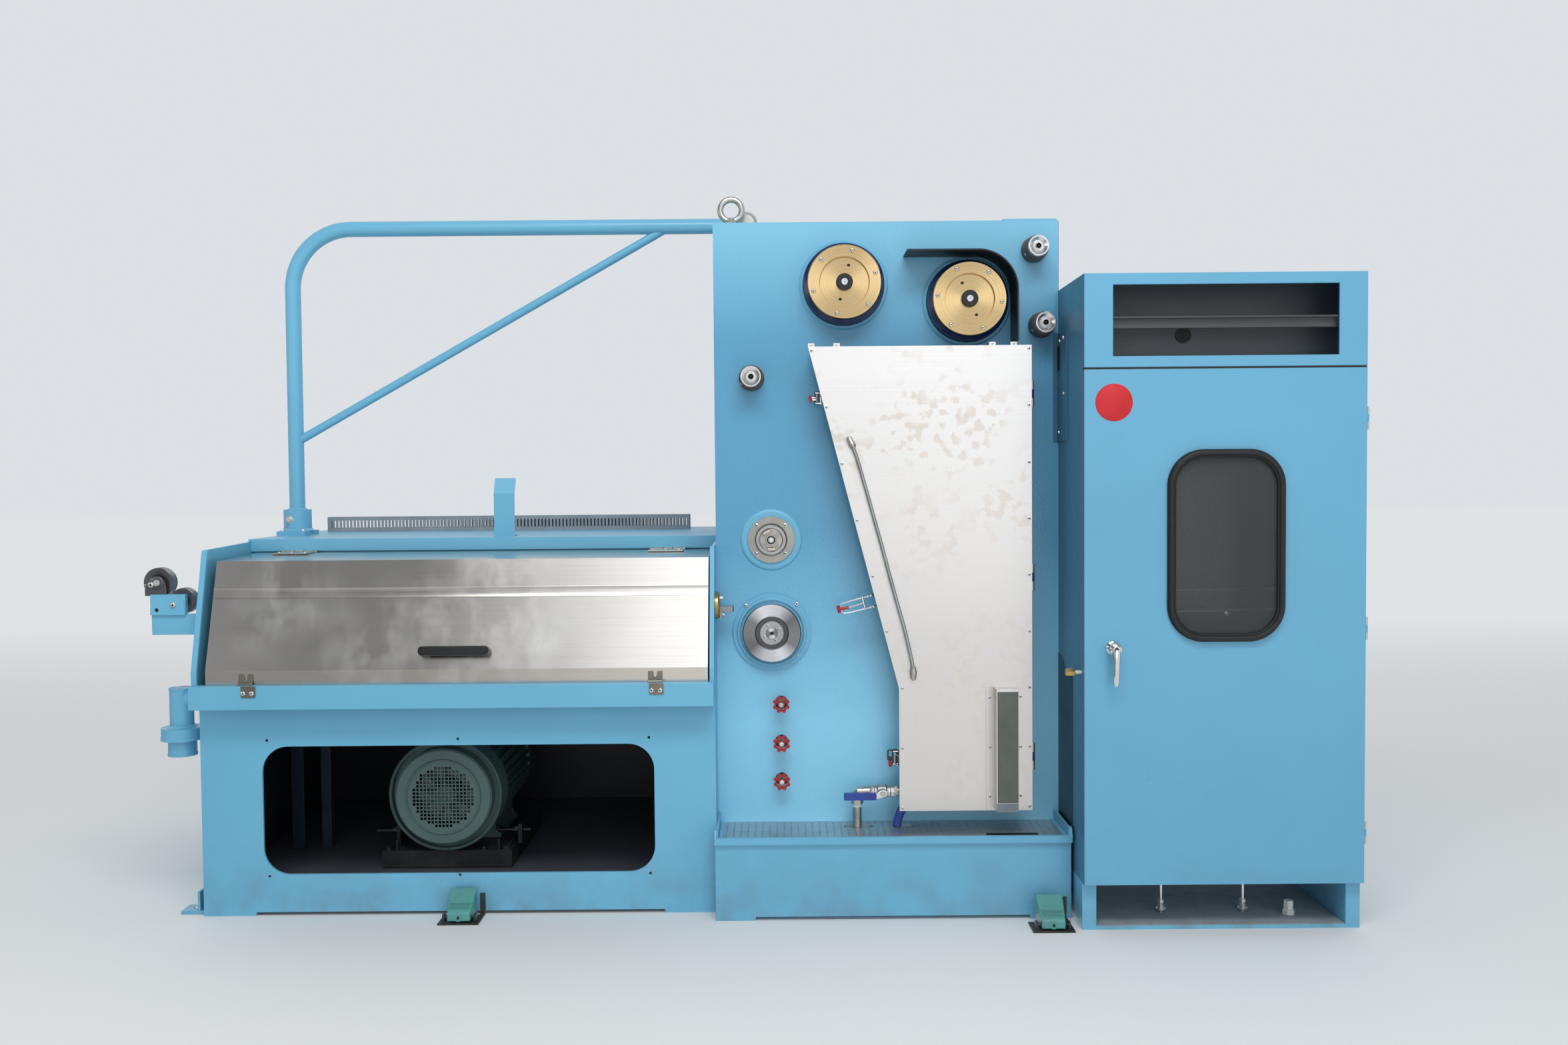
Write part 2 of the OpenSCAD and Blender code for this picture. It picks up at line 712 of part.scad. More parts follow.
// Outline of the annealer in X and Z, drawn in by m on every side
cover_dx = cover_left_low - cover_left_top;
cover_dz = cover_high - cover_kink;
cover_stretch = sqrt(cover_dx * cover_dx + cover_dz * cover_dz) / cover_dz;
function cover_outline(m) = [
    [cover_left_top + m * (cover_stretch + cover_dx / cover_dz), cover_high - m],
    [cover_right - m, cover_high - m],
    [cover_right - m, cover_low + m],
    [cover_left_low + m, cover_low + m],
    [cover_left_low + m, cover_kink + m * (cover_stretch - 1) * cover_dz / cover_dx]];
door_rim = 24;
cover_over = 8;
box_front = annealer_out - cover_t - door_rim - close_gap;
ann_knuckle_y = -box_front - close_gap / 2;
module annealer_box() {
    color(navy) difference() {
        stand(-box_front, box_front) polygon(cover_outline(cover_over));
        stand(-box_front - 1, box_front + 1 - annealer_wall) polygon(cover_outline(cover_over + annealer_wall));
    }
}

module annealer_door() {
    color("#c9c8c4") stand(-annealer_out, cover_t) polygon(cover_outline(0));
    color(navy) difference() {
        stand(-annealer_out + cover_t, door_rim) polygon(cover_outline(cover_over));
        stand(-annealer_out + cover_t - 1, door_rim + 2) polygon(cover_outline(cover_over + annealer_wall));
    }
    color("silver") for (z = ann_knuckle_zs) {
        moving_knuckle(ann_knuckle_x, ann_knuckle_y, z, ann_knuckle_r, ann_knuckle_len);
        translate([cover_right - cover_over, ann_knuckle_y - close_gap / 2 - 4, z - ann_knuckle_len / 6 + run_gap])
            cube([cover_over + 1, 4, ann_knuckle_len / 3 - 2 * run_gap]);
    }
}

hose_r = 6;
hose_y = -annealer_out - 14;
hose_route = [[383, 1305], [392, 1270], [416, 1180], [452, 1050], [489, 910], [518, 795], [538, 706], [549, 660], [551, 640]];
function hose_slope(i) = let (a = hose_route[max(i - 1, 0)], b = hose_route[min(i + 1, len(hose_route) - 1)],
    d = b - a) d / norm(d);
hose_sides = 10;
module annealer_hose() {
    n = len(hose_route);
    rings = [for (i = [0 : n - 1]) let (d = hose_slope(i)) for (k = [0 : hose_sides - 1])
        let (a = 360 * k / hose_sides) [hose_route[i][0] - d[1] * hose_r * cos(a), hose_y + hose_r * sin(a),
            hose_route[i][1] + d[0] * hose_r * cos(a)]];
    walls = [for (i = [0 : n - 2], k = [0 : hose_sides - 1]) let (m = (k + 1) % hose_sides)
        [i * hose_sides + k, i * hose_sides + m, (i + 1) * hose_sides + m, (i + 1) * hose_sides + k]];
    ends = [[for (k = [hose_sides - 1 : -1 : 0]) k], [for (k = [0 : hose_sides - 1]) (n - 1) * hose_sides + k]];
    color("#8d9496") polyhedron(points = rings, faces = concat(walls, ends));
    color("#8d9496") for (p = [hose_route[0], hose_route[n - 1]])
        bar_y(p[0], p[1], 8, hose_y, -annealer_out);
}

sight_x = 753;
sight_w = 106;
sight_h = 342;
sight_out = 50;
sight_edge = 22;
sight_pane_w = 60;
module sight_glass() {
    low = cover_low + 4;
    color("#8a8a70") {
        translate([sight_x, -annealer_out - 2.5, low]) cube([sight_w, 2.5, sight_h]);
        translate([sight_x + sight_edge, -annealer_out - sight_out, low + 4])
            cube([sight_pane_w, sight_out, sight_h - 4]);
    }
}

valve_x = 466;
valve_y = -60;
valve_z = 319;
drain_x = 395;
lever_fall = 8;
module drain_valve() {
    color("#c8c8c4") {
        bar_x(valve_y, valve_z, 13, drain_x, cover_left_low + 8);
        translate([drain_x, valve_y, tray_plate_h]) cylinder(r = 12, h = valve_z - tray_plate_h);
        bar_y(valve_x, valve_z, 8, valve_y - 24, valve_y);
        bar_y(valve_x, valve_z, stem_r, valve_y - 36, valve_y - 24);
    }
}

module valve_lever() {
    color("#2340a0") difference() {
        stand(valve_y - 32, 8 - run_gap) translate([valve_x, valve_z]) polygon([
            [12, -9], [12, 9], [-10, 9], [-18, 10 - lever_fall], [-109, 10 - lever_fall],
            [-109, -10 - lever_fall], [-18, -10 - lever_fall], [-10, -9]]);
        bar_y(valve_x, valve_z, stem_r + run_fit, valve_y - 40, valve_y);
    }
}

module wire_exit() {
    color("#c9a24b") bar_x(-60, 852, 38, 0, 13);
    color("#9a9ea2") translate([13, -72, 840]) cube([38, 24, 24]);
}

tray_gap = 8;
skirt_w = tower_w - tray_gap;
lip_high = 228;
lip_over = 2;
module drip_tray() {
    color(paint) {
        difference() {
            stand(-skirt_out, skirt_out) square([skirt_w, skirt_h]);
            stand(-skirt_out - 1, skirt_out + 2) translate([foot_w * 0.75, -1])
                square([skirt_w - foot_w * 1.5, foot_h + 1]);
        }
        for (x = [0, skirt_w - base_wall]) translate([x, -skirt_out, skirt_h])
            cube([base_wall, skirt_out, tray_wall_h - skirt_h]);
        translate([0, -skirt_out, skirt_h]) cube([skirt_w, base_wall, lip_high - skirt_h]);
        translate([-lip_over, -skirt_out - 10, lip_high - 18]) cube([skirt_w + 2 * lip_over, 10, 18]);
    }
}

tray_pitch = 20;
tray_hole_r = 3;
tray_slot = [[356, 442], [496, 560]];
tray_cut = [746, 889];
module tray_plate() {
    depth = skirt_out - base_wall;
    color("#8f9598") translate([0, 0, skirt_h]) linear_extrude(tray_plate_h - skirt_h) difference() {
        translate([base_wall, -depth]) square([skirt_w - 2 * base_wall, depth]);
        for (i = [1 : floor(skirt_w / tray_pitch) - 1], j = [0 : 8]) {
            x = base_wall + i * tray_pitch;
            y = -depth + 12 + j * tray_pitch;
            in_slot = len([for (s = tray_slot) if (x > s[0] - 8 && x < s[1] + 8 && abs(y + 60) < 22) 1]) > 0;
            in_cut = x > tray_cut[0] - 8 && x < tray_cut[1] + 8 && y < -depth + 62;
            if (!in_slot && !in_cut) translate([x, y]) circle(r = tray_hole_r, $fn = 16);
        }
        for (s = tray_slot) {
            for (x = [s[0] + 14, s[1] - 14]) translate([x, -60]) circle(r = 14);
            translate([s[0] + 14, -74]) square([s[1] - s[0] - 28, 28]);
        }
        translate([tray_cut[0], -depth + 8]) square([tray_cut[1] - tray_cut[0], 46]);
    }
}

cab_x = tower_w;
cab_y = -cab_front;
cab_knuckle_x = cab_x + cab_w + cab_knuckle_r;
cab_knuckle_y = cab_y - 18;
door_gap = 5;
upper_low = 1516;
upper_high = 1701;
upper_x = 76;
upper_w = 588;
module cabinet_shell() {
    color(paint) difference() {
        union() {
            translate([cab_x, cab_y, door_low]) cube([cab_w, cab_d, cab_h - door_low]);
            translate([cab_x, cab_y - door_t, door_high + door_gap]) cube([cab_w, door_t, cab_h - door_high - door_gap]);
        }
        translate([cab_x + cab_wall, cab_y - 1, door_low + cab_wall])
            cube([cab_w - 2 * cab_wall, cab_d - cab_wall + 1, door_high - door_low - 2 * cab_wall]);
        translate([cab_x + cab_wall, cab_y - door_t + cab_wall, door_high + door_gap + cab_wall])
            cube([cab_w - 2 * cab_wall, cab_d + door_t - 2 * cab_wall, cab_h - door_high - door_gap - 2 * cab_wall]);
        translate([cab_x + upper_x, cab_y - door_t - 1, upper_low]) cube([upper_w, cab_wall + 2, upper_high - upper_low]);
    }
}

module cabinet_plinth() {
    color(paint) difference() {
        translate([cab_x, cab_y, 0]) cube([cab_w, cab_d, door_low]);
        translate([cab_x + 38, cab_y - 1, foot_h]) cube([cab_w - 76, cab_d + 2, door_low - foot_h + 1]);
    }
}

module cabinet_back_panel() {
    color("#8f9598") {
        translate([cab_x + 60, cab_y + cab_d - cab_wall - 40, 300]) cube([cab_w - 120, 40, 1000]);
        translate([cab_x + cab_wall, cab_y + 110, door_high + door_gap + cab_wall])
            cube([cab_w - 2 * cab_wall, 4, cab_h - door_high - door_gap - 2 * cab_wall]);
        translate([cab_x + cab_wall, cab_y - 4, upper_low + 74]) cube([cab_w - 2 * cab_wall, 20, 28]);
    }
}

window_in = 370;
window_cx = cab_x + window_in;
window_cz = 1021;
pane_edge = 10;
module cabinet_door() {
    color(paint) difference() {
        translate([cab_x, cab_y - door_t, door_low]) cube([cab_w, door_t - close_gap, door_high - door_low]);
        stand(cab_y - door_t - 1, door_t + 2)
            translate([window_cx - door_window_w / 2 + pane_edge, window_cz - door_window_h / 2 + pane_edge])
            rounded_rect(door_window_w - 2 * pane_edge, door_window_h - 2 * pane_edge, window_corner - pane_edge);
        bar_y(handle_x, door_handle_h, handle_stem_r + run_fit, cab_y - door_t - 1, cab_y);
    }
    color("silver") for (z = cab_knuckle_zs) {
        moving_knuckle(cab_knuckle_x, cab_knuckle_y, z, cab_knuckle_r, cab_knuckle_len);
        translate([cab_x + cab_w - 2, cab_knuckle_y - 3, z - cab_knuckle_len / 6 + run_gap])
            cube([4, 6, cab_knuckle_len / 3 - 2 * run_gap]);
    }
}

window_corner = 95;
gasket_w = 20;
gasket_t = 8;
module window_gasket() {
    color("black") difference() {
        stand(cab_y - door_t - gasket_t, gasket_t) translate([window_cx - door_window_w / 2, window_cz - door_window_h / 2])
            rounded_rect(door_window_w, door_window_h, window_corner);
        stand(cab_y - door_t - gasket_t - 1, gasket_t + 2)
            translate([window_cx - door_window_w / 2 + gasket_w, window_cz - door_window_h / 2 + gasket_w])
            rounded_rect(door_window_w - 2 * gasket_w, door_window_h - 2 * gasket_w, window_corner - gasket_w);
    }
}

module window_pane() {
    color([0.5, 0.5, 0.5, 0.3]) stand(cab_y - door_t, 4)
        translate([window_cx - door_window_w / 2 + pane_edge, window_cz - door_window_h / 2 + pane_edge])
        rounded_rect(door_window_w - 2 * pane_edge, door_window_h - 2 * pane_edge, window_corner - pane_edge);
}

handle_x = cab_x + 75;
door_handle_h = 755;
handle_stem_r = 7;
module door_handle() {
    color("silver") {
        bar_y(handle_x, door_handle_h, 15, cab_y - door_t - 30, cab_y - door_t - run_gap);
        bar_y(handle_x, door_handle_h, handle_stem_r, cab_y - door_t - run_gap, cab_y - close_gap);
        translate([handle_x - 8, cab_y - door_t - 40, door_handle_h - 98]) cube([16, 10, 110]);
    }
}

module entry_roller(at, r) {
    color("#2c2c2e") turned_out(at[0], at[1], [[stem_r + run_fit, -roller_y - roller_t], [r, -roller_y - roller_t],
        [r, -roller_y], [stem_r + run_fit, -roller_y]]);
}

module entry_roller_rear() {
    entry_roller(roller_rear, 41);
}

module entry_roller_front() {
    entry_roller(roller_front, 35);
}

pedal_places = [[-700, -215], [900, -315]];
pedal_walls = [base_front_y, -skirt_out];
pedal_w = 78;
pedal_len = 67;
pedal_pin = [16, 15];
pedal_pin_r = 4;
module pedal_bases() {
    color("#1e2024") for (p = pedal_places) translate([p[0], p[1], 0]) {
        translate([-56, -8, 0]) cube([112, pedal_len + 12, 4]);
        for (s = [-1, 1]) translate([s * (pedal_w / 2 + 4) - 3, pedal_pin[0] - 9, 4]) cube([6, 18, 20]);
        bar_x(pedal_pin[0], pedal_pin[1], pedal_pin_r, -pedal_w / 2 - 4, pedal_w / 2 + 4);
    }
    color("#1e2024") for (i = [0, 1]) translate([pedal_places[i][0] + pedal_w / 2 + 3, 0, 0]) {
        y0 = pedal_places[i][1] + pedal_len;
        translate([0, y0, 0]) cube([14, pedal_walls[i] - y0, 4]);
        translate([0, pedal_walls[i] - 4, 4]) cube([14, 4, 56]);
    }
}

module foot_pedal(p) {
    color("#4f9a9a") translate([p[0], p[1], 0]) difference() {
        along_x(-pedal_w / 2, pedal_w / 2) polygon([
            [0, 7], [0, 28], [8, 36], [30, 52], [pedal_len, 82], [pedal_len, 40], [30, 7]]);
        bar_x(pedal_pin[0], pedal_pin[1], pedal_pin_r + run_fit, -pedal_w, pedal_w);
    }
}

module foot_pedal_left() {
    foot_pedal(pedal_places[0]);
}

module foot_pedal_right() {
    foot_pedal(pedal_places[1]);
}

module hood_cover() {
    x0 = draw_x + cheek_fold + hood_side_gap;
    x1 = -right_fold - hood_right_gap;
    low = ledge_top + close_gap;
    color("#bdb9b3") difference() {
        along_x(x0, x1) polygon([
            [hinge_y - hood_knuckle_r, hinge_z - hood_t / 2], [hinge_y - hood_knuckle_r, hinge_z + hood_t / 2],
            [-hood_top_front, hinge_z - hood_fall + hood_t / 2], [-hood_low_front, low + hood_flange],
            [-hood_low_front, low], [-hood_low_front + hood_t, low], [-hood_low_front + hood_t, low + hood_flange],
            [-hood_top_front + hood_t, hinge_z - hood_fall - hood_t / 2]]);
        for (x = hood_knuckle_x) translate([x - hood_knuckle_len / 2 - 3, hinge_y - hood_knuckle_r - 3, hinge_z - 5])
            cube([hood_knuckle_len + 6, 12, 10]);
    }
    color("#bdb9b3") for (x = hood_knuckle_x) {
        translate([0, hinge_y, hinge_z]) rotate([0, 90, 0])
            moving_knuckle(0, 0, x, hood_knuckle_r, hood_knuckle_len);
        translate([x - hood_knuckle_len / 6 + run_gap, hinge_y - hood_knuckle_r - 4, hinge_z - hood_t / 2])
            cube([hood_knuckle_len / 3 - 2 * run_gap, 6, hood_t]);
    }
}

slope_tilt = atan2(hood_low_front - hood_top_front,
    hinge_z - hood_fall + hood_t / 2 - ledge_top - close_gap - hood_flange);
handle_h = 735;
handle_y = -hood_low_front + (handle_h - ledge_top - close_gap - hood_flange) * tan(slope_tilt);
module hood_handle() {
    color("black") translate([-709, handle_y, handle_h]) rotate([-slope_tilt, 0, 0]) {
        translate([-96, -34, -12]) cube([192, 14, 24]);
        for (s = [-1, 1]) translate([s * 84 - 12, -20, -12]) cube([24, 20, 24]);
    }
}

base_front_plate();
base_frame();
base_floor();
motor_body();
motor_cowl();
motor_slide_base();
gearbox_housing();
tub();
end_cheeks();
draw_capstans();
spray_pipe();
top_deck();
hinge_leaves();
cable_duct();
handrail();
floor_lugs();
roller_bracket();
drain_spout();
tower_housing();
lifting_eye();
wheel_mounts();
tension_flange();
wheel_guard();
pulley_sleeves();
valve_stems();
annealer_box();
drain_valve();
wire_exit();
drip_tray();
tray_plate();
cabinet_shell();
cabinet_plinth();
cabinet_back_panel();
pedal_bases();
hood_cover();
hood_handle();
contact_wheel_left();
contact_wheel_right();
guide_pulley_top();
guide_pulley_middle();
guide_pulley_left();
tension_wheel();
pulling_capstan();
handwheel_top();
handwheel_middle();
handwheel_bottom();
valve_lever();
annealer_door();
annealer_hose();
sight_glass();
cabinet_door();
window_gasket();
window_pane();
door_handle();
entry_roller_rear();
entry_roller_front();
foot_pedal_left();
foot_pedal_right();
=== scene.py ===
# %% [markdown]
# # A wire drawing machine, dressed for its portrait
#
# The solids of the machine come from CAD and stay where they are. This lesson gives them
# paint, metal and rubber, and adds the pieces that are too small or too fine for the solids:
# screws, latches, seals and welds. Pieces are measured in millimetres in the machine's own
# frame: X to the right, Y to the back, Z up, the tower's panel at Y = 0. Shaders, camera and
# lamps count in metres.

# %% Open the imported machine
import bpy
import bmesh
import math
from mathutils import Matrix, Vector


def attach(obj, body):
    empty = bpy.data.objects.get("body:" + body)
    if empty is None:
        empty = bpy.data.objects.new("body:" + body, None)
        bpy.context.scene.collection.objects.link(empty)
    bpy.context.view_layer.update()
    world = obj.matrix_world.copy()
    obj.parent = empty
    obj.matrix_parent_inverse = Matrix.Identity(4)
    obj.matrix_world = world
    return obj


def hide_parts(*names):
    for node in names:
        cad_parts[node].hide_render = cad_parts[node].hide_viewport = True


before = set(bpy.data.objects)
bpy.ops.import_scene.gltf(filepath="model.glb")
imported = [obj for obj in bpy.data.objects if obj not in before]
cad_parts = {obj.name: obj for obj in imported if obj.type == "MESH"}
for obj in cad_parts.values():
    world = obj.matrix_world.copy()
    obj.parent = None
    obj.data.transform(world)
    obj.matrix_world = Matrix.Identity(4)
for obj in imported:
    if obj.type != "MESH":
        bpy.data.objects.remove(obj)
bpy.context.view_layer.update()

# %% [markdown]
# ## Where the picture is taken from
#
# The photograph was taken about 3.8 m in front of the tower, a little over a metre high and
# tipped down by two degrees. A lens of about 30 mm gives the same perspective. The camera
# comes first, because everything after it is judged through it.

# %% Camera
eye = Vector((0.195, -3.8, 1.212))
tipped = Matrix.Rotation(math.radians(88.0), 4, "X")
rolled = Matrix.Rotation(math.radians(-0.48), 4, "Z")
camera_data = bpy.data.cameras.new("camera")
camera_data.lens = 30.6
camera_data.sensor_width = 36.0
camera = bpy.data.objects.new("camera", camera_data)
bpy.context.scene.collection.objects.link(camera)
camera.matrix_world = Matrix.Translation(eye) @ tipped @ rolled
bpy.context.scene.camera = camera
print("camera at", tuple(round(v, 3) for v in eye))

# %% [markdown]
# ## Nodes with short words
#
# The floor, the room and every finish are made of nodes. A small class keeps the moves that
# they share: add a node, fill a socket, read one axis, stretch a value and mix two values.

# %% Node helper
class Graph:
    """A node tree. A socket takes a number, a colour or a link from another node."""

    def __init__(self, owner, where="Object"):
        owner.use_nodes = True
        self.nodes, self.links = owner.node_tree.nodes, owner.node_tree.links
        self.place = self.add("TexCoord").outputs[where]

    def put(self, value, socket):
        if isinstance(value, bpy.types.NodeSocket):
            self.links.new(value, socket)
        elif value is not None:
            socket.default_value = value

    def add(self, kind, sockets=None, **switches):
        node = self.nodes.new("ShaderNode" + kind)
        for word, value in switches.items():
            setattr(node, word, value)
        for word, value in (sockets or {}).items():
            self.put(value, node.inputs[word])
        return node

    def axis(self, letter, where=None):
        return self.add("SeparateXYZ", {0: where or self.place}).outputs[letter]

    def ramp(self, value, low, high, out_low=0.0, out_high=1.0, sort="LINEAR"):
        """Stretch the span from low to high over the span from out_low to out_high."""
        ends = {"From Min": low, "From Max": high, "To Min": out_low, "To Max": out_high}
        return self.add("MapRange", {"Value": value, **ends}, interpolation_type=sort).outputs["Result"]

    def maths(self, first, second=None, sort="MULTIPLY"):
        return self.add("Math", {0: first, 1: second}, operation=sort).outputs[0]

    def mixed(self, share, first, second, sort="RGBA"):
        sockets = {"Factor": share, "A": first, "B": second}
        return self.add("Mix", sockets, data_type=sort).outputs["Result"]

    def glow(self, colour, strength):
        return self.add("Emission", {"Color": (*colour, 1), "Strength": strength}).outputs[0]


# %% [markdown]
# ## Floor and light
#
# A pale floor and a soft room let the paint speak. Mirrors and glass see a glowing floor,
# dimmer at the left, and far behind the machine the floor turns into the pale wall. One
# large lamp hangs above and before the machine, as skylights do in a hall. A weak one stands
# at the left and a faint one low in front. Behind the camera the room is pale near the
# floor and darker overhead, which gives the bare metal something to mirror.

# %% Studio floor
floor_mesh = bpy.data.meshes.new("studio_floor")
floor_mesh.from_pydata([(-40, -30, 0), (40, -30, 0), (40, 40, 0), (-40, 40, 0)], [], [(0, 1, 2, 3)])
studio_floor = bpy.data.objects.new("studio_floor", floor_mesh)
bpy.context.scene.collection.objects.link(studio_floor)
floor_material = bpy.data.materials.new("studio_floor_paint")
floor_mesh.materials.append(floor_material)

# %% What the floor shows
ground = Graph(floor_material)
plain = ground.nodes["Principled BSDF"]
ground.put((0.80, 0.80, 0.79, 1), plain.inputs["Base Color"])
ground.put(0.75, plain.inputs["Roughness"])
left_part = ground.maths(ground.ramp(ground.axis("X"), -0.7, -2.0), ground.ramp(ground.axis("Y"), -8.5, -6.5))
mirrored = ground.glow((0.86, 0.86, 0.85), ground.ramp(left_part, 0.0, 1.0, 1.0, 0.30))
ray = ground.add("LightPath").outputs
seen = ground.maths(ray["Is Glossy Ray"], ray["Is Transmission Ray"], "MAXIMUM")
near = ground.add("MixShader", {0: seen, 1: plain.outputs[0], 2: mirrored}).outputs[0]
far = ground.glow((0.74, 0.76, 0.78), 1.0)
whole = ground.add("MixShader", {0: ground.ramp(ground.axis("Y"), 1.0, 7.0), 1: near, 2: far}).outputs[0]
ground.put(whole, ground.nodes["Material Output"].inputs["Surface"])
print("floor laid")

# %% Room light
world = bpy.data.worlds.new("room")
bpy.context.scene.world = world
room = Graph(world, "Generated")


def wall(stops):
    """Brightness from left to right: pairs of a place from -1 to 1 and a brightness up to 2."""
    curve = room.add("ValToRGB", {"Fac": room.ramp(room.axis("X"), -1.0, 1.0)})
    points = curve.color_ramp.elements
    while len(points) < len(stops):
        points.new(0.5)
    for point, (place, bright) in zip(points, stops):
        point.position = 0.5 + 0.5 * place
        point.color = (0.5 * bright, 0.5 * bright, 0.5 * bright, 1)
    return room.maths(curve.outputs["Color"], 2.0)


def blended(letter, low, high, first, second):
    """Pass softly from the first brightness to the second along one axis."""
    return room.mixed(room.ramp(room.axis(letter), low, high, sort="SMOOTHSTEP"), first, second, "FLOAT")


low_wall = wall([(-1.0, 0.30), (-0.35, 0.34), (-0.20, 0.50), (-0.12, 0.85), (-0.05, 1.12), (0.50, 1.12),
                 (1.0, 0.80)])
high_wall = wall([(-1.0, 0.12), (-0.50, 0.22), (-0.40, 0.46), (-0.345, 0.20), (-0.30, 0.10), (-0.25, 0.12),
                  (-0.20, 0.30), (-0.165, 0.75), (-0.14, 1.30), (-0.11, 1.80), (0.30, 1.80), (0.42, 0.50),
                  (1.0, 0.40)])
behind = blended("Z", 0.20, 0.36, low_wall, high_wall)
behind = blended("Z", 0.64, 0.80, behind, 0.25)
background = room.nodes["Background"].inputs
room.put((0.92, 0.96, 1.0, 1), background["Color"])
room.put(blended("Y", 0.1, -0.3, 0.78, behind), background["Strength"])
print("room lit")


# %% Lamps
def soft_lamp(name, place, target, size, power):
    data = bpy.data.lights.new(name, "AREA")
    data.shape = "RECTANGLE"
    data.size, data.size_y = size
    data.energy = power
    lamp = bpy.data.objects.new(name, data)
    bpy.context.scene.collection.objects.link(lamp)
    lamp.location = place
    lamp.rotation_euler = (Vector(target) - Vector(place)).to_track_quat("-Z", "Y").to_euler()


soft_lamp("lamp_hall", (0.3, -3.0, 4.6), (0.2, -0.1, 0.8), (3.6, 1.2), 110)
soft_lamp("lamp_left", (-4.6, -3.0, 2.0), (-0.5, 0, 0.8), (1.6, 1.6), 18)
soft_lamp("lamp_low", (1.6, -4.8, 0.8), (0.1, 0, 0.35), (2.4, 0.8), 8)
bpy.context.scene.view_settings.view_transform = "Standard"
print("three lamps hung")

# %% [markdown]
# ## Finishes
#
# Each finish is built from nodes: a base colour that drifts a little, a roughness that drifts
# with it, and a fine bump. A helper takes the colour as people read it from a screen, and
# turns it into the linear numbers that the shader wants.

# %% Helpers for finishes
def linear(colour):
    """Screen colour, 0 to 255, as linear numbers."""
    def one(v):
        v /= 255
        return v / 12.92 if v <= 0.04045 else ((v + 0.055) / 1.055) ** 2.4
    return tuple(one(v) for v in colour) + (1.0,)


def shade(tint, share):
    """The same tint, darker."""
    return tuple(v * share for v in tint[:3]) + (1.0,)


class Finish(Graph):
    """The nodes of one material, which start as a plain shader."""

    def __init__(self, name, roughness=0.5, metallic=0.0):
        self.material = bpy.data.materials.new(name)
        super().__init__(self.material)
        self.shader = self.nodes["Principled BSDF"]
        self.rough(roughness)
        self.put(metallic, self.shader.inputs["Metallic"])

    def stretched(self, scale, shift=(0, 0, 0)):
        sockets = {"Vector": self.place, "Scale": scale, "Location": shift}
        return self.add("Mapping", sockets).outputs["Vector"]

    def noise(self, scale, detail=3.0, rough=0.5, where=None):
        sockets = {"Vector": where or self.place, "Scale": scale, "Detail": detail, "Roughness": rough}
        return self.add("TexNoise", sockets).outputs["Fac"]

    def colour(self, value):
        self.put(value, self.shader.inputs["Base Color"])

    def rough(self, value):
        self.put(value, self.shader.inputs["Roughness"])

    def bump(self, height, strength, distance):
        """A bump on top of the bumps that are there."""
        normal = self.shader.inputs["Normal"]
        before = normal.links[0].from_socket if normal.links else None
        sockets = {"Height": height, "Strength": strength, "Distance": distance, "Normal": before}
        self.put(self.add("Bump", sockets).outputs["Normal"], normal)


# %% [markdown]
# ### Sprayed paint
#
# Machine paint is sprayed over filler, so it has a fine orange peel and slow waves. Its
# colour is nearly even, with a little dust on what lies flat and a breath of dirt low down.

# %% Paint
def sprayed_paint(name, colour, gloss=0.36, peel=0.10, dust=(186, 190, 190), dusty=0.25, painted_light_bands=(),
                  cells=190.0):
    paint = Finish(name, gloss)
    tint = linear(colour)
    cloud = paint.ramp(paint.noise(1.7, 4.0, 0.55), 0.35, 0.70)
    even = paint.mixed(cloud, tint, shade(tint, 0.90))
    # Painted light: each band makes the colour lighter or darker along one axis, for light and shade.
    for letter, start, end, other in painted_light_bands:
        even = paint.mixed(paint.ramp(paint.axis(letter), start, end), even, linear(other))
    low = paint.ramp(paint.axis("Z"), 0.22, 0.0)
    grime = paint.maths(low, paint.ramp(paint.noise(9.0, 6.0, 0.6), 0.42, 0.75))
    even = paint.mixed(paint.maths(grime, 0.45), even, linear((96, 96, 90)))
    up = paint.add("NewGeometry").outputs["Normal"]
    flat = paint.ramp(paint.axis("Z", up), 0.75, 1.0)
    specks = paint.ramp(paint.noise(26.0, 8.0, 0.7), 0.45, 0.75, 0.2, 1.0)
    lying = paint.maths(paint.maths(flat, specks), dusty)
    paint.colour(paint.mixed(lying, even, linear(dust)))
    paint.rough(paint.ramp(paint.noise(3.1, 5.0, 0.6), 0.3, 0.75, gloss - 0.06, gloss + 0.10))
    paint.bump(paint.noise(cells, 2.0, 0.5), peel, 0.0009)
    paint.bump(paint.noise(9.0, 2.0, 0.5), 0.10, 0.002)
    return paint.material


light_blue = sprayed_paint("light_blue_paint", (109, 180, 212))
# Painted light on the tower: lighter low down, darker in the middle and lighter again near the top.
tower_painted_light = (("Z", 0.50, 1.05, (88, 156, 192)), ("Z", 1.60, 1.9, (122, 188, 218)))
tower_blue_painted_light = sprayed_paint("tower_paint_with_painted_light", (140, 210, 240), 0.22, 0.60, painted_light_bands=tower_painted_light, cells=105.0)
# Painted shade: the cabinet's left side, which faces the tower, is painted darker.
cabinet_left_painted_shade = (("X", 0.9800, 0.9785, (64, 116, 146)),)
cabinet_blue = sprayed_paint("cabinet_blue_paint", (104, 174, 208), 0.32, 0.08, painted_light_bands=cabinet_left_painted_shade)
navy_blue = sprayed_paint("navy_blue_paint", (17, 50, 98), 0.30, dusty=0.10)
motor_grey_green = sprayed_paint("motor_grey_green", (84, 110, 108), 0.42, 0.14)
teal_hammer = sprayed_paint("teal_hammer_paint", (82, 160, 156), 0.32, 0.35)
# Painted shade: the floor inside the base is painted dark for the shade there.
base_floor_shaded = sprayed_paint("base_floor_painted_shade", (74, 76, 86), 0.44, 0.04, dust=(92, 94, 98), dusty=0.05)
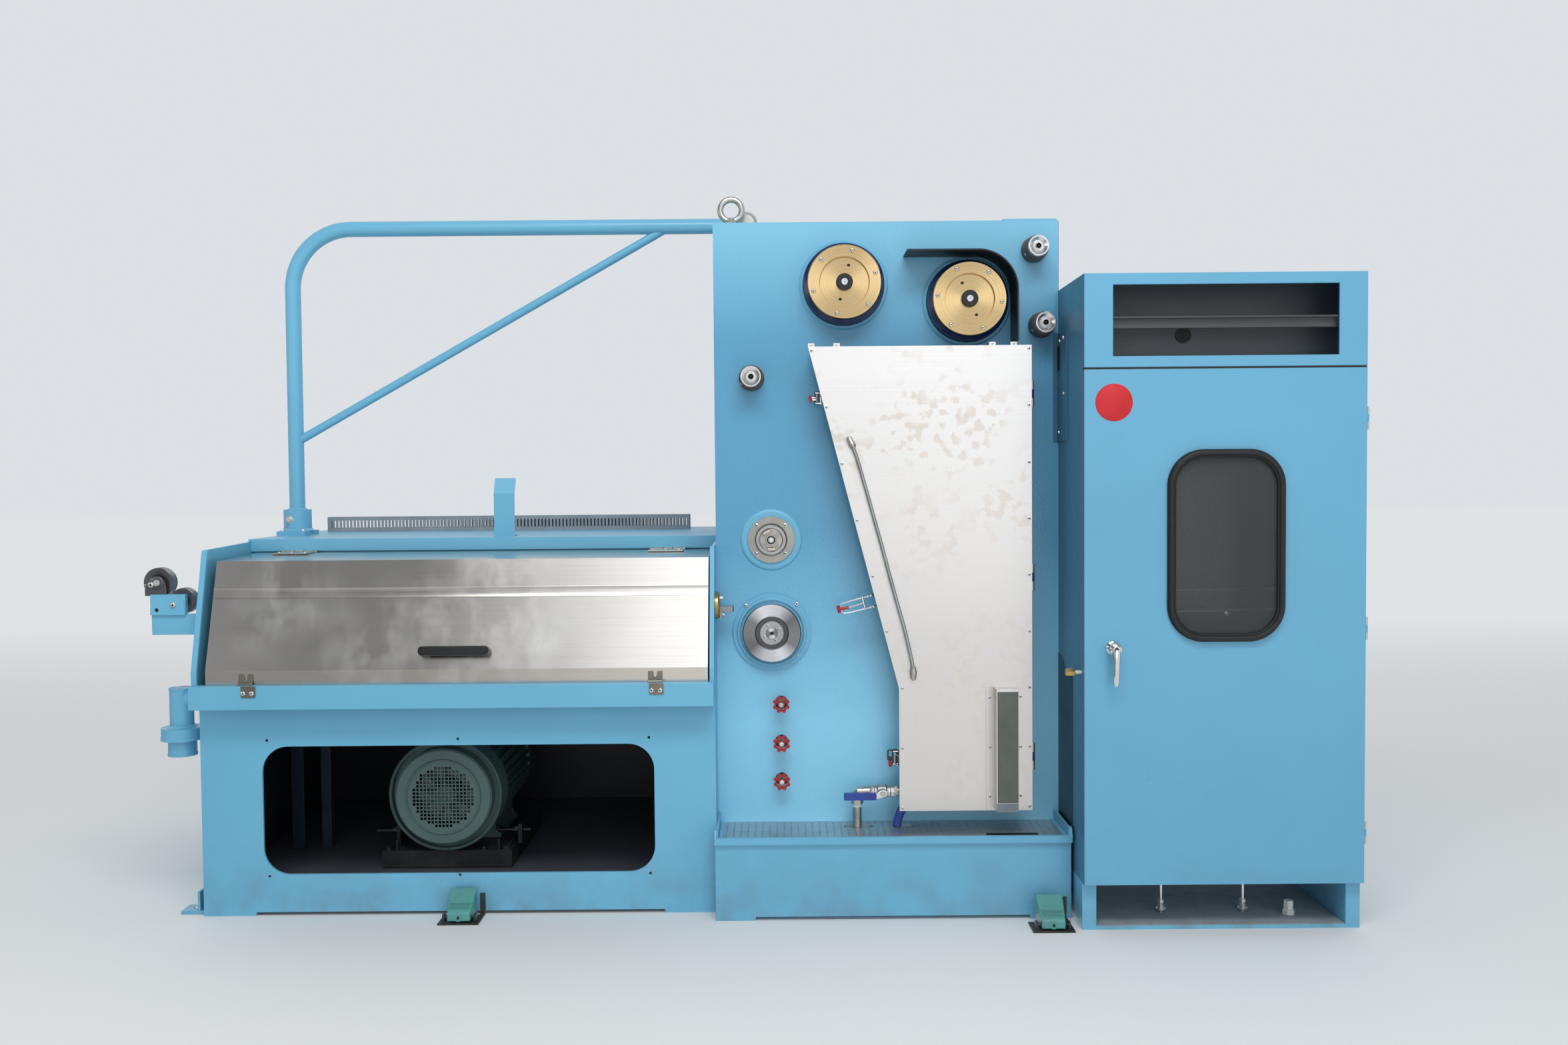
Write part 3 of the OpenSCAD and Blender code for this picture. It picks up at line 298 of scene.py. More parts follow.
# Painted shade: the plate on the cabinet's left side is painted a darker blue for the shade it lies in.
side_plate_shaded_blue = sprayed_paint("side_plate_painted_shade", (60, 108, 136), 0.28, 0.08, dusty=0.05)
shadow_blue = sprayed_paint("shadowed_navy_paint", (26, 44, 62), 0.40, dusty=0.05)
black_iron = sprayed_paint("black_iron_paint", (30, 31, 35), 0.38, 0.30, dust=(96, 96, 96))
# Painted shade: the grey inside the cabinet is made darker for the shade there.
grey_panel_shaded = sprayed_paint("grey_mounting_panel_shaded", (66, 70, 74), 0.40)
guard_black = sprayed_paint("guard_black_blue", (14, 22, 34), 0.40, dusty=0.05)
print("paints made")

# %% [markdown]
# ### Sheet steel
#
# The hood and the annealer's cover are stainless sheet. The hood is brushed along its length
# and darkened by hands and mist. The cover's tabs are paler, with faint dried stains.

# %% Stainless sheet
def stainless_sheet(name, colour, grain, roughness, stain, stained, cloud_size=3.0, milky=0.0):
    sheet = Finish(name, roughness, 1.0)
    brushed = sheet.noise(1.0, 3.0, 0.6, sheet.stretched(grain))
    patches = sheet.ramp(sheet.noise(1.6, 2.0, 0.5), 0.35, 0.70)
    tint = linear(colour)
    streaked = sheet.mixed(sheet.ramp(brushed, 0.3, 0.7), tint, shade(tint, 0.93))
    wide, fine = sheet.stretched((1, 1, 1), (3.1, 0, 1.7)), sheet.stretched((1, 1, 0.6), (0.4, 0, 2.9))
    wipes = sheet.ramp(sheet.noise(cloud_size, 3.0, 0.55, wide), 0.46, 0.74)
    spots = sheet.ramp(sheet.noise(cloud_size * 5, 4.0, 0.6, fine), 0.42, 0.80)
    clouds = sheet.maths(wipes, spots)
    marked = sheet.mixed(sheet.maths(clouds, stained), streaked, linear(stain))
    sheet.colour(sheet.mixed(sheet.maths(patches, 0.30), marked, shade(tint, 0.86)))
    sheet.put(sheet.ramp(clouds, 0.0, 0.8, 1.0, 1.0 - milky), sheet.shader.inputs["Metallic"])
    worn = sheet.ramp(patches, 0.0, 1.0, roughness - 0.03, roughness + 0.05)
    sheet.rough(sheet.maths(worn, sheet.maths(clouds, 0.06), "ADD"))
    sheet.bump(brushed, 0.05, 0.0004)
    return sheet.material


hood_steel = stainless_sheet("hood_stainless", (214, 209, 203), (1.5, 260, 260), 0.19, (236, 234, 228), 0.9,
                             2.2, 0.40)
cover_steel = stainless_sheet("cover_stainless", (236, 233, 229), (90, 90, 2.0), 0.40, (206, 192, 172), 1.2)
plate_steel = stainless_sheet("tray_stainless", (206, 210, 212), (60, 60, 60), 0.44, (150, 154, 156), 0.8)
zinc_plated = stainless_sheet("zinc_plated", (196, 196, 190), (30, 30, 30), 0.34, (170, 166, 152), 0.4)
print("sheets made")

# %% [markdown]
# ### Turned metal
#
# A lathe leaves fine rings round a wheel's centre. The rings are a noise read along the
# distance from the wheel's axis, so each wheel needs its own centre. Light on such rings
# spreads like a fan. That fan is painted into the colour: by the angle round the centre, the
# metal is painted dark between the two bright blades, as painted shade and painted highlight.

# %% Turned faces
CONTACT = {"left": (369, 1751), "right": (718, 1702)}
PULLEY = {"top": (909, 1846), "middle": (929, 1634), "left": (106, 1490)}
TENSION = (158, 1031)
PULLING = (158, 767)


def turned_metal(name, colour, centre, roughness, fan):
    metal = Finish(name, roughness, 1.0)
    hub = (centre[0] / 1000, 0, centre[1] / 1000)
    offset = metal.add("VectorMath", {0: metal.place, 1: hub}, operation="SUBTRACT").outputs[0]
    flat = metal.add("VectorMath", {0: offset, 1: (1, 0, 1)}, operation="MULTIPLY").outputs[0]
    radius = metal.add("VectorMath", {0: flat}, operation="LENGTH").outputs["Value"]
    sockets = {"Scale": 420.0, "Detail": 3.0, "W": radius}
    rings = metal.add("TexNoise", sockets, noise_dimensions="1D").outputs["Fac"]
    tint = linear(colour)
    ringed = metal.mixed(metal.ramp(rings, 0.3, 0.7), tint, shade(tint, 0.78))
    worn = metal.ramp(metal.noise(14.0, 4.0, 0.6), 0.4, 0.7)
    ringed = metal.mixed(metal.maths(worn, 0.25), ringed, shade(tint, 0.66))
    # Painted light: by the angle round the centre, the colour is darkened outside two bright blades of a fan.
    angle = metal.maths(metal.axis("Z", flat), metal.axis("X", flat), "ARCTAN2")
    doubled = metal.maths(metal.maths(angle, -math.radians(93), "ADD"), 2.0)
    painted_fan_shade = metal.ramp(metal.maths(doubled, sort="COSINE"), -0.40, 0.72, 1.0, 0.0)
    metal.colour(metal.mixed(metal.maths(painted_fan_shade, fan), ringed, shade(tint, 0.20)))
    metal.rough(metal.ramp(rings, 0.3, 0.7, roughness - 0.02, roughness + 0.04))
    metal.bump(rings, 0.10, 0.0004)
    metal.put(0.80, metal.shader.inputs["Anisotropic"])
    way = metal.add("Tangent", direction_type="RADIAL", axis="Y").outputs["Tangent"]
    metal.put(way, metal.shader.inputs["Tangent"])
    return metal.material


turned_brass = {side: turned_metal(f"turned_brass_{side}", (228, 198, 146), place, 0.33, 0.22)
                for side, place in CONTACT.items()}
turned_tension = turned_metal("turned_tension_steel", (206, 202, 192), TENSION, 0.33, 0.30)
turned_pulling = turned_metal("turned_pulling_steel", (226, 226, 232), PULLING, 0.30, 0.92)
turned_pulley = {name: turned_metal(f"turned_pulley_{name}", (236, 236, 236), place, 0.22, 0.12)
                 for name, place in PULLEY.items()}
print("wheels' metals made")

# %% [markdown]
# ### Plain finishes
#
# The small things are plain: one colour that drifts a little, one gloss and a fine grain.
# Only their numbers differ, so one recipe makes them all.

# %% Plain small finishes
def plain_finish(name, colour, roughness, metallic=0.0, grain=80.0, depth=0.08):
    finish = Finish(name, roughness, metallic)
    tint = linear(colour)
    drift = finish.ramp(finish.noise(18.0, 4.0, 0.6), 0.35, 0.7)
    finish.colour(finish.mixed(drift, tint, shade(tint, 0.80)))
    smoothest = max(roughness - 0.05, 0.04)
    finish.rough(finish.ramp(finish.noise(30.0, 3.0, 0.6), 0.3, 0.7, smoothest, roughness + 0.08))
    finish.bump(finish.noise(grain, 3.0, 0.6), depth, 0.0006)
    return finish.material


bright_steel = plain_finish("bright_screw_steel", (222, 222, 220), 0.24, 0.8)
satin_ring = plain_finish("satin_ring", (176, 177, 178), 0.33, 0.4)
# Painted shade: the grey of the shaded groove round the capstan's middle disc.
groove_painted_shade = plain_finish("groove_painted_shade", (84, 86, 88), 0.34, 0.6)
beige_plate = plain_finish("beige_plate", (212, 202, 186), 0.4, 0.2)
chrome = plain_finish("chrome", (222, 224, 226), 0.09, 1.0, 40.0, 0.02)
dark_steel = plain_finish("dark_screw_steel", (70, 70, 72), 0.34, 0.9)
worn_steel = plain_finish("worn_steel", (172, 170, 164), 0.34, 1.0)
dull_zinc = plain_finish("dull_zinc", (142, 138, 128), 0.40, 1.0)
fitting_steel = plain_finish("fitting_steel", (186, 184, 178), 0.34, 1.0)
black_rubber = plain_finish("black_rubber", (20, 20, 21), 0.55, 0.0, 160.0, 0.2)
black_plastic = plain_finish("black_plastic", (16, 16, 17), 0.34, 0.0, 220.0, 0.10)
duct_grey = plain_finish("duct_grey_plastic", (146, 152, 156), 0.48)
red_enamel = plain_finish("red_enamel", (168, 22, 34), 0.28)
lever_blue = plain_finish("lever_blue_vinyl", (38, 66, 152), 0.36)
brass = plain_finish("dull_brass", (196, 168, 108), 0.30, 1.0)
brown_bakelite = plain_finish("brown_bakelite", (78, 56, 42), 0.40)
# Painted shade: the near black of holes, sockets, slots, gaps and the inside of hollows.
dark_painted_shade = plain_finish("near_black_painted_shade", (18, 19, 21), 0.70)
sticker_red = plain_finish("sticker_red", (210, 30, 38), 0.55, 0.0, 300.0, 0.03)
tape_white = plain_finish("thread_tape_white", (226, 226, 222), 0.6, 0.0, 300.0, 0.3)
hose_braid = plain_finish("braided_hose_steel", (176, 180, 180), 0.34, 1.0, 700.0, 0.25)
sight_pane = plain_finish("sight_pane", (92, 97, 90), 0.10, 0.0, 20.0, 0.0)
# Painted reflection: the bluish foot of the sight glass is the tray showing in the glass.
sight_foot_painted_reflection = plain_finish("sight_foot_painted_reflection", (118, 130, 136), 0.20, 0.0, 20.0, 0.0)
roller_steel = plain_finish("roller_dark_steel", (104, 106, 110), 0.30, 0.75)
felt_grey = plain_finish("felt_grey_floor", (150, 156, 160), 0.8, 0.0, 300.0, 0.5)

window = Finish("window_glass", 0.05)
window.colour((0.30, 0.32, 0.32, 1))
window.put(0.10, window.shader.inputs["Alpha"])
print("finishes:", len(bpy.data.materials))

# %% [markdown]
# ## Making pieces
#
# Every added piece is a mesh that grows from a few plain moves: turn a profile on a lathe,
# push an outline along an axis, run a tube along a line. A small class keeps those moves
# together. It works in millimetres, and when the piece is done it is scaled, smoothed,
# painted and tied to the body that carries it.

# %% Lines and outlines
UP = (0, 0, 1)
ALONG = (1, 0, 0)
FORWARD = (0, -1, 0)
PUSHED = {"X": lambda t, a, b: (t, a, b), "Y": lambda t, a, b: (a, t, b)}
tally = {}


def smooth_line(points, parts=8):
    """A rounder line through the same points."""
    points = [Vector(p) for p in points]
    line = []
    for i in range(len(points) - 1):
        a, b = points[max(i - 1, 0)], points[i]
        c, d = points[i + 1], points[min(i + 2, len(points) - 1)]
        for k in range(parts):
            t = k / parts
            line.append(0.5 * ((2 * b) + (c - a) * t + (2 * a - 5 * b + 4 * c - d) * t * t
                               + (3 * b - a - 3 * c + d) * t ** 3))
    return line + [points[-1]]


def rounded_outline(x0, z0, x1, z1, r, parts=6):
    """A rectangle with round corners, as a list of points."""
    line = []
    corners = ((x1 - r, z0 + r, -90), (x1 - r, z1 - r, 0), (x0 + r, z1 - r, 90), (x0 + r, z0 + r, 180))
    for cx, cz, start in corners:
        for k in range(parts + 1):
            a = math.radians(start + 90 * k / parts)
            line.append((cx + r * math.cos(a), cz + r * math.sin(a)))
    return line


def around_centre(centre, r, count, first):
    """Places on a circle, the first at an angle in degrees."""
    for k in range(count):
        a = math.radians(first + 360 * k / count)
        yield centre[0] + r * math.cos(a), centre[1] + r * math.sin(a)


def soften(thing, width):
    """A hair of bevel, because no real edge is perfectly sharp."""
    bevel = thing.modifiers.new("soft_edges", "BEVEL")
    bevel.width = width / 1000
    bevel.segments = 2
    bevel.limit_method = "ANGLE"
    bevel.angle_limit = math.radians(40)
    bevel.harden_normals = True


# %% The piece maker
class Piece:
    def __init__(self, name):
        self.name = name
        self.bm = bmesh.new()

    def circle(self, centre, u, v, r, steps, spin=0.0):
        """Corners on a circle in the plane of u and v."""
        angles = [spin + 2 * math.pi * k / steps for k in range(steps)]
        return [self.bm.verts.new(centre + (u * math.cos(a) + v * math.sin(a)) * r) for a in angles]

    def skin(self, rings, coat, closed):
        """Faces between each ring of corners and the next. A ring may be a single point."""
        for a, b in list(zip(rings, rings[1:])) + ([(rings[-1], rings[0])] if closed else []):
            steps = max(len(a), len(b))
            for k in range(steps):
                m = (k + 1) % steps
                corners = [a[k % len(a)], a[m % len(a)], b[m % len(b)], b[k % len(b)]]
                corners = [c for i, c in enumerate(corners) if c not in corners[:i]]
                if len(corners) > 2:
                    self.bm.faces.new(corners).material_index = coat

    def turn(self, centre, profile, coat=0, axis=FORWARD, steps=40, closed=False, spin=0.0):
        """Turn a profile of (radius, height) on a lathe round an axis through the centre."""
        n = Vector(axis).normalized()
        u = Vector(ALONG) if abs(n.x) < 0.9 else Vector((0, 1, 0))
        u = (u - n * u.dot(n)).normalized()
        v = n.cross(u)
        rings = []
        for r, h in profile:
            middle = Vector(centre) + n * h
            if r < 1e-6:
                rings.append([self.bm.verts.new(middle)])
            else:
                rings.append(self.circle(middle, u, v, r, steps, spin))
        self.skin(rings, coat, closed)

    def plug(self, place, r, top, coat=0, axis=FORWARD, steps=24, bottom=0.0):
        """A plain cylinder, or a nut where it has six steps."""
        self.turn(place, [(0, bottom), (r, bottom), (r, top), (0, top)], coat, axis, steps)

    def band(self, place, inner, outer, bottom, top, coat, steps):
        """A flat ring."""
        profile = [(inner, bottom), (outer, bottom), (outer, top), (inner, top)]
        self.turn(place, profile, coat, steps=steps, closed=True)

    def push(self, outline, axis, low, high, coat=0, holes=()):
        """Push an outline, with holes if it has any, along an axis."""
        loops = [list(outline)] + [list(h) for h in holes]
        ends = []
        for level in (low, high):
            ends.append([[self.bm.verts.new(PUSHED[axis](level, a, b)) for a, b in loop] for loop in loops])
        for rows in ends:
            if len(loops) == 1:
                self.bm.faces.new(rows[0]).material_index = coat
            else:
                edges = [self.bm.edges.new((row[i], row[(i + 1) % len(row)])) for row in rows
                         for i in range(len(row))]
                made = bmesh.ops.triangle_fill(self.bm, use_beauty=True, use_dissolve=False, edges=edges)
                for item in made["geom"]:
                    if isinstance(item, bmesh.types.BMFace):
                        item.material_index = coat
        for row_low, row_high in zip(*ends):
            for i in range(len(row_low)):
                k = (i + 1) % len(row_low)
                self.bm.faces.new((row_low[i], row_low[k], row_high[k], row_high[i])).material_index = coat

    def block(self, low, high, coat=0):
        outline = [(low[0], low[2]), (high[0], low[2]), (high[0], high[2]), (low[0], high[2])]
        self.push(outline, "Y", low[1], high[1], coat)

    def tube(self, line, r, coat=0, sides=12, closed=False):
        """A round bar or hose along a line of points. r is one radius, or one for each point."""
        line = [Vector(p) for p in line]
        last = len(line) - 1
        radii = r if isinstance(r, list) else [r] * len(line)
        rings, side = [], None
        for i, p in enumerate(line):
            before, after = (i - 1, (i + 1) % len(line)) if closed else (max(i - 1, 0), min(i + 1, last))
            way = (line[after] - line[before]).normalized()
            side = side or way.orthogonal().normalized()
            side = (side - way * side.dot(way)).normalized()
            rings.append(self.circle(p, side, way.cross(side), radii[i], sides))
        self.skin(rings, coat, closed)
        if not closed:
            for ring in (rings[0], rings[-1]):
                self.bm.faces.new(ring).material_index = coat

    def moved(self, matrix, first=0):
        """Move every corner from number first on."""
        self.bm.verts.ensure_lookup_table()
        for v in self.bm.verts[first:]:
            v.co = matrix @ v.co

    def keep(self, body, finishes, edge=0.0, sharp=35, replaces=()):
        """Turn the collected faces into an object that rides on a body."""
        bmesh.ops.recalc_face_normals(self.bm, faces=self.bm.faces)
        mesh = bpy.data.meshes.new(self.name)
        self.bm.to_mesh(mesh)
        self.bm.free()
        mesh.transform(Matrix.Scale(0.001, 4))
        mesh.shade_smooth()
        mesh.set_sharp_from_angle(angle=math.radians(sharp))
        for finish in finishes:
            mesh.materials.append(finish)
        piece = bpy.data.objects.new(self.name, mesh)
        bpy.context.scene.collection.objects.link(piece)
        if edge:
            soften(piece, edge)
        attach(piece, body)
        if replaces:
            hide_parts(*replaces)
        tally[self.name] = sum(len(p.vertices) - 2 for p in mesh.polygons)


def slab(name, low, high, finish, edge=0.0, body="machine"):
    """A piece that is one block."""
    piece = Piece(name)
    piece.block(low, high)
    piece.keep(body, [finish], edge)


# %% [markdown]
# ### Screws
#
# Three sorts of screws hold this machine's plates: low domes with a hexagon in them, tall
# socket screws, and hexagon bolts on washers. Each is turned like any lathe part.

# %% Screws
# A screw's socket is a dark, nearly flat hexagon of painted shade in its head.
def dome_screw(piece, place, r, coat=0, socket=1, axis=FORWARD):
    profile = [(0, -1), (r, -1), (r, 0.25 * r), (0.86 * r, 0.52 * r), (0.5 * r, 0.68 * r),
               (0.42 * r, 0.70 * r), (0.42 * r, 0.4 * r), (0, 0.4 * r)]
    piece.turn(place, profile, coat, axis, 16)
    piece.turn(place, [(0, 0.4 * r), (0.40 * r, 0.4 * r), (0, 0.46 * r)], socket, axis, 6)


def socket_screw(piece, place, r, tall):
    half = 0.5 * tall
    profile = [(0, -1), (r, -1), (r, 0.9 * tall), (0.9 * r, tall), (0.55 * r, tall), (0.52 * r, half),
               (0, half)]
    piece.turn(place, profile, 0, steps=18)
    piece.turn(place, [(0, half), (0.5 * r, half), (0, 0.52 * tall)], 1, steps=6)


def hex_bolt(piece, place, r, tall, coat=0, axis=UP):
    washer = 0.22 * r
    piece.plug(place, 1.6 * r, washer, coat, axis, bottom=-1)
    profile = [(0, washer), (r * 1.1, washer), (r * 1.1, washer + 0.85 * tall), (r * 0.95, washer + tall),
               (0, washer + tall)]
    piece.turn(place, profile, coat, axis, 6, spin=0.3)


# %% [markdown]
# ## Painting the solids
#
# The CAD solids keep their shapes. Some of them carry two finishes, such as the navy rim
# behind the annealer's bright cover: there the finish changes past a height or a depth.

# %% Finishes with two tones
def two_tones(finish, letter, low, high, colour, roughness):
    """Past a height or a depth, the finish turns into a plain paint."""
    share = finish.ramp(finish.axis(letter), low, high)
    for word, value in (("Base Color", linear(colour)), ("Roughness", roughness), ("Metallic", 0.0)):
        socket = finish.shader.inputs[word]
        now = socket.links[0].from_socket if socket.links else socket.default_value
        finish.put(finish.mixed(share, now, value, "RGBA" if word == "Base Color" else "FLOAT"), socket)


def drifting_blue(name, roughness, scale, detail):
    """The light blue without dust and grime."""
    finish = Finish(name, roughness)
    drift = finish.ramp(finish.noise(scale, detail), 0.35, 0.7)
    finish.colour(finish.mixed(drift, linear((109, 180, 212)), linear((104, 172, 204))))
    finish.bump(finish.noise(190.0, 2.0, 0.5), 0.10, 0.0009)
    return finish


wheel_plates = drifting_blue("wheel_plate_paint", 0.34, 2.0, 3.0)
two_tones(wheel_plates, "Z", 1.30, 1.31, (13, 40, 86), 0.26)

base_paint = drifting_blue("base_outside_and_inside", 0.38, 1.7, 4.0)
# Painted shade: the frame's inner faces, between its ends and in front of its back, are painted nearly black
# for the shade inside the base.
between_ends = base_paint.maths(base_paint.ramp(base_paint.axis("X"), -1.4242, -1.4238),
                                base_paint.ramp(base_paint.axis("X"), -0.0038, -0.0042))
inner = base_paint.maths(between_ends, base_paint.ramp(base_paint.axis("Y"), 0.9462, 0.9458))
outer_tone = base_paint.shader.inputs["Base Color"].links[0].from_socket
base_paint.colour(base_paint.mixed(inner, outer_tone, linear((38, 42, 50))))
print("wheel plates and base painted")

# %% The annealer's cover and its rim
cover = Finish("cover_and_rim", 0.42, 1.0)
smudges = cover.maths(cover.ramp(cover.noise(5.2, 2.0, 0.5), 0.42, 0.56),
                      cover.ramp(cover.noise(34.0, 2.0, 0.5), 0.52, 0.60))
high_up = cover.ramp(cover.axis("Z"), 0.8, 1.5, 0.25, 0.62)
streaks = cover.ramp(cover.noise(1.0, 3.0, 0.6, cover.stretched((1.2, 1, 210))), 0.3, 0.75)
sheet_grey = cover.mixed(streaks, linear((238, 236, 234)), linear((234, 231, 229)))
# Painted shade: the sheet is painted darker towards its bottom.
sheet_grey = cover.mixed(cover.ramp(cover.axis("Z"), 1.55, 0.75), sheet_grey, linear((214, 211, 209)))
cover.colour(cover.mixed(cover.maths(smudges, high_up), sheet_grey, linear((208, 194, 180))))
cover.bump(cover.noise(1.0, 4.0, 0.7, cover.stretched((90, 90, 2))), 0.08, 0.0005)
two_tones(cover, "Y", -0.1055, -0.1050, (17, 50, 98), 0.30)
print("cover painted")

# %% Finishes for the solids
solid_finish = {
    base_paint.material: "base_frame",
    light_blue: "base_front_plate gearbox_housing tub end_cheeks top_deck handrail floor_lugs "
                "roller_bracket drain_spout drip_tray cabinet_plinth",
    tower_blue_painted_light: "tower_housing",
    cabinet_blue: "cabinet_shell cabinet_door",
    base_floor_shaded: "base_floor",
    motor_grey_green: "motor_body motor_cowl",
    black_iron: "motor_slide_base pedal_bases",
    worn_steel: "draw_capstans tension_flange entry_roller_rear entry_roller_front",
    turned_tension: "tension_wheel",
    turned_pulling: "pulling_capstan",
    brass: "spray_pipe wire_exit",
    zinc_plated: "hinge_leaves lifting_eye drain_valve",
    duct_grey: "cable_duct",
    navy_blue: "annealer_box",
    wheel_plates.material: "wheel_mounts",
    brown_bakelite: "pulley_sleeves",
    chrome: "valve_stems door_handle",
    plate_steel: "tray_plate",
    grey_panel_shaded: "cabinet_back_panel",
    hood_steel: "hood_cover",
    black_plastic: "hood_handle",
    guard_black: "wheel_guard",
    red_enamel: "handwheel_top handwheel_middle handwheel_bottom",
    lever_blue: "valve_lever",
    cover.material: "annealer_door sight_glass",
    hose_braid: "annealer_hose",
    black_rubber: "window_gasket",
    window.material: "window_pane",
    teal_hammer: "foot_pedal_left foot_pedal_right",
}
solid_finish |= {metal: f"contact_wheel_{side}" for side, metal in turned_brass.items()}
solid_finish |= {metal: f"guide_pulley_{name}" for name, metal in turned_pulley.items()}
for finish, names in solid_finish.items():
    for name in names.split():
        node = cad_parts[name]
        if not node.material_slots:
            node.data.materials.append(finish)
        for place in node.material_slots:
            place.material = finish
bare = [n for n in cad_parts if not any(n in names.split() for names in solid_finish.values())]
print("solids without a finish:", bare)

# %% Soft edges for the plates
soft_plates = {1.5: "base_frame top_deck drip_tray cabinet_plinth floor_lugs annealer_box",
               2.0: "tub end_cheeks cabinet_shell", 3.0: "tower_housing gearbox_housing"}
for width, names in soft_plates.items():
    for name in names.split():
        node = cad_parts[name]
        weld = node.modifiers.new("join_corners", "WELD")
        weld.merge_threshold = 0.00002
        soften(node, width)
print("edges softened")

# %% [markdown]
# ## The contact wheels
#
# Each brass wheel is held by a black washer and one chrome screw. Six small socket screws sit
# on a circle near its rim. A bump could hint at them, but only real screws catch the light
# when the wheel turns, so they are pieces that ride with it.

# %% Contact wheel screws
face_y, boss_y = -70, -61


def contact_dressing(side, first, sockets):
    """Screws from one angle on, and two dark sockets at two more, in degrees."""
    x, z = CONTACT[side]
    screws = Piece(f"contact_{side}_screws")
    for px, pz in around_centre((x, z), 90, 6, first):
        # Each screw sits in a thin dark ring of painted shade.
        seat = [(0, -1), (6.2, -1), (6.2, 0.3), (5.2, 0.3), (5.2, -0.4), (0, -0.4)]
        screws.turn((px, face_y, pz), seat, 1, steps=20)
        socket_screw(screws, (px, face_y + 0.4, pz), 4.4, 1.6)
    screws.keep(f"contact_{side}", [chrome, dark_painted_shade])
    hub = Piece(f"contact_{side}_hub")
    washer = [(0, 0), (23.4, 0), (23.4, 11.6), (21.6, 13.2), (12, 13.2), (11.6, 12.2), (0, 12.2)]
    screw = [(0, 0), (9.6, 0), (9.6, 3.6), (8.6, 4.4), (5.6, 4.4), (5.2, 1.2), (0, 1.2)]
    hub.turn((x, boss_y, z), washer)
    hub.turn((x, boss_y - 12, z), screw, 1, steps=32)
    hub.turn((x, boss_y - 13, z), [(0, 0), (4.9, 0), (0, 0.3)], 2, steps=6)
    # The two sockets are dark discs of painted shade.
    for angle in sockets:
        px, pz = next(around_centre((x, z), 48.5, 1, angle))
        hub.plug((px, boss_y, pz), 4.2, 0.3, 2, steps=20, bottom=0.1)
    hub.keep(f"contact_{side}", [black_plastic, chrome, dark_painted_shade])


contact_dressing("left", 16, (76, 256))
contact_dressing("right", -6, (115, 293))
print("contact wheels dressed")

# %% [markdown]
# ## The guide pulleys
#
# The pulleys are dished and turned bright. Their brown sleeves flare towards the panel and
# carry one grub screw each. Bolt and flare are lathe profiles round the pulley's own axis.

# %% Guide pulleys
pulley_front = -69
for name, (x, z) in PULLEY.items():
    bolt = Piece(f"pulley_{name}_bolt")
    seat = (x, pulley_front, z)
    bolt.turn(seat, [(0, 0), (13.5, 0), (13.5, 1.8), (12.6, 2.6), (9.2, 2.6)], 0, steps=36)
    bolt.turn(seat, [(0, 6.0), (7.4, 6.0), (8.6, 5.2), (8.6, 2.0)], 1, steps=28)
    # A dark hexagon of painted shade is the bolt's socket.
    bolt.turn((x, pulley_front - 6.2, z), [(0, 0), (4.0, 0), (0, 0.4)], 2, steps=6)
    bolt.keep(f"pulley_{name}", [bright_steel, dark_steel, dark_painted_shade])
sleeves = Piece("pulley_sleeve_flares")
grub_way = Vector((-0.86, 0.0, -0.51))
for x, z in PULLEY.values():
    flare = [(33.2, 0.2), (36.5, 0.2), (36.5, 4), (34.2, 26), (33.4, 50), (33.2, 50)]
    sleeves.turn((x, 0, z), flare)
    spot = Vector((x, -28, z)) + grub_way * 33.6
    grub = [(0, 0), (5, 0), (5, 1.2), (3.0, 1.2), (2.6, -0.4), (0, -0.4)]
    sleeves.turn(spot, grub, 1, axis=grub_way, steps=18)
sleeves.keep("machine", [brown_bakelite, chrome])
print("pulleys dressed")

# %% [markdown]
# ## Tension wheel and pulling capstan
#
# Four domed screws hold the tension flange, four more hold the capstan's painted plate, and
# four little ones hold the disc in the capstan's middle. A painted weld ring runs round each.
# The dark rings are thin discs of painted shade on the faces, for grooves and gaps, because
# the imported solids aren't cut again.

# %% Screws of the two lower wheels
rings = Piece("lower_wheel_screws")
for px, pz in around_centre(TENSION, 57, 4, 45):
    dome_screw(rings, (px, -12, pz), 6.4)
for px, pz in ((84, 843), (229, 847), (88, 700), (231, 703)):
    dome_screw(rings, (px, -8, pz), 6.0)
rings.keep("machine", [bright_steel, dark_painted_shade])

# %% Capstan cap
x, z = PULLING
front = (x, -36, z)
cap = Piece("capstan_cap_screws")
for px, pz in around_centre(PULLING, 23.5, 4, 27):
    dome_screw(cap, (px, -38.2, pz), 5.0)
# The grey ring stands in for the shade in the groove round the middle disc.
cap.band(front, 33.6, 44.8, 0.2, 0.4, 3, 64)
cap.turn(front, [(33.4, 0.3), (33.4, 1.4), (32.6, 2.2), (16, 2.2)], 2, steps=56)
cap.turn(front, [(16, 2.2), (16, 4), (14.6, 5.4), (11.6, 5.4), (5, 3.4)], 0, steps=44)
cap.turn(front, [(0, 3.2), (5.2, 3.2), (5.2, 3.6)], 1, steps=20)
cap.keep("pulling", [bright_steel, dark_painted_shade, satin_ring, groove_painted_shade])

# %% Tension wheel's rim and nut
x, z = TENSION
# Painted shade: two dark rings on the flange for the gap round the wheel's rim.
rim_gap = Piece("tension_rim_gap")
for inner, outer in ((43.2, 45.0), (46.0, 46.8)):
    rim_gap.band((x, -12, z), inner, outer, 0.15, 0.3, 0, 64)
rim_gap.keep("machine", [dark_painted_shade])
nut_y = -31
face = (x, nut_y, z)
nut = Piece("tension_nut")
nut.turn(face, [(33.4, 0), (34.2, 1.0), (41.4, 1.0), (42.4, 0)], 2, steps=64)
nut.turn(face, [(11.6, 0), (12, 1.4), (15.2, 1.4), (15.8, 0)], 2, steps=48)
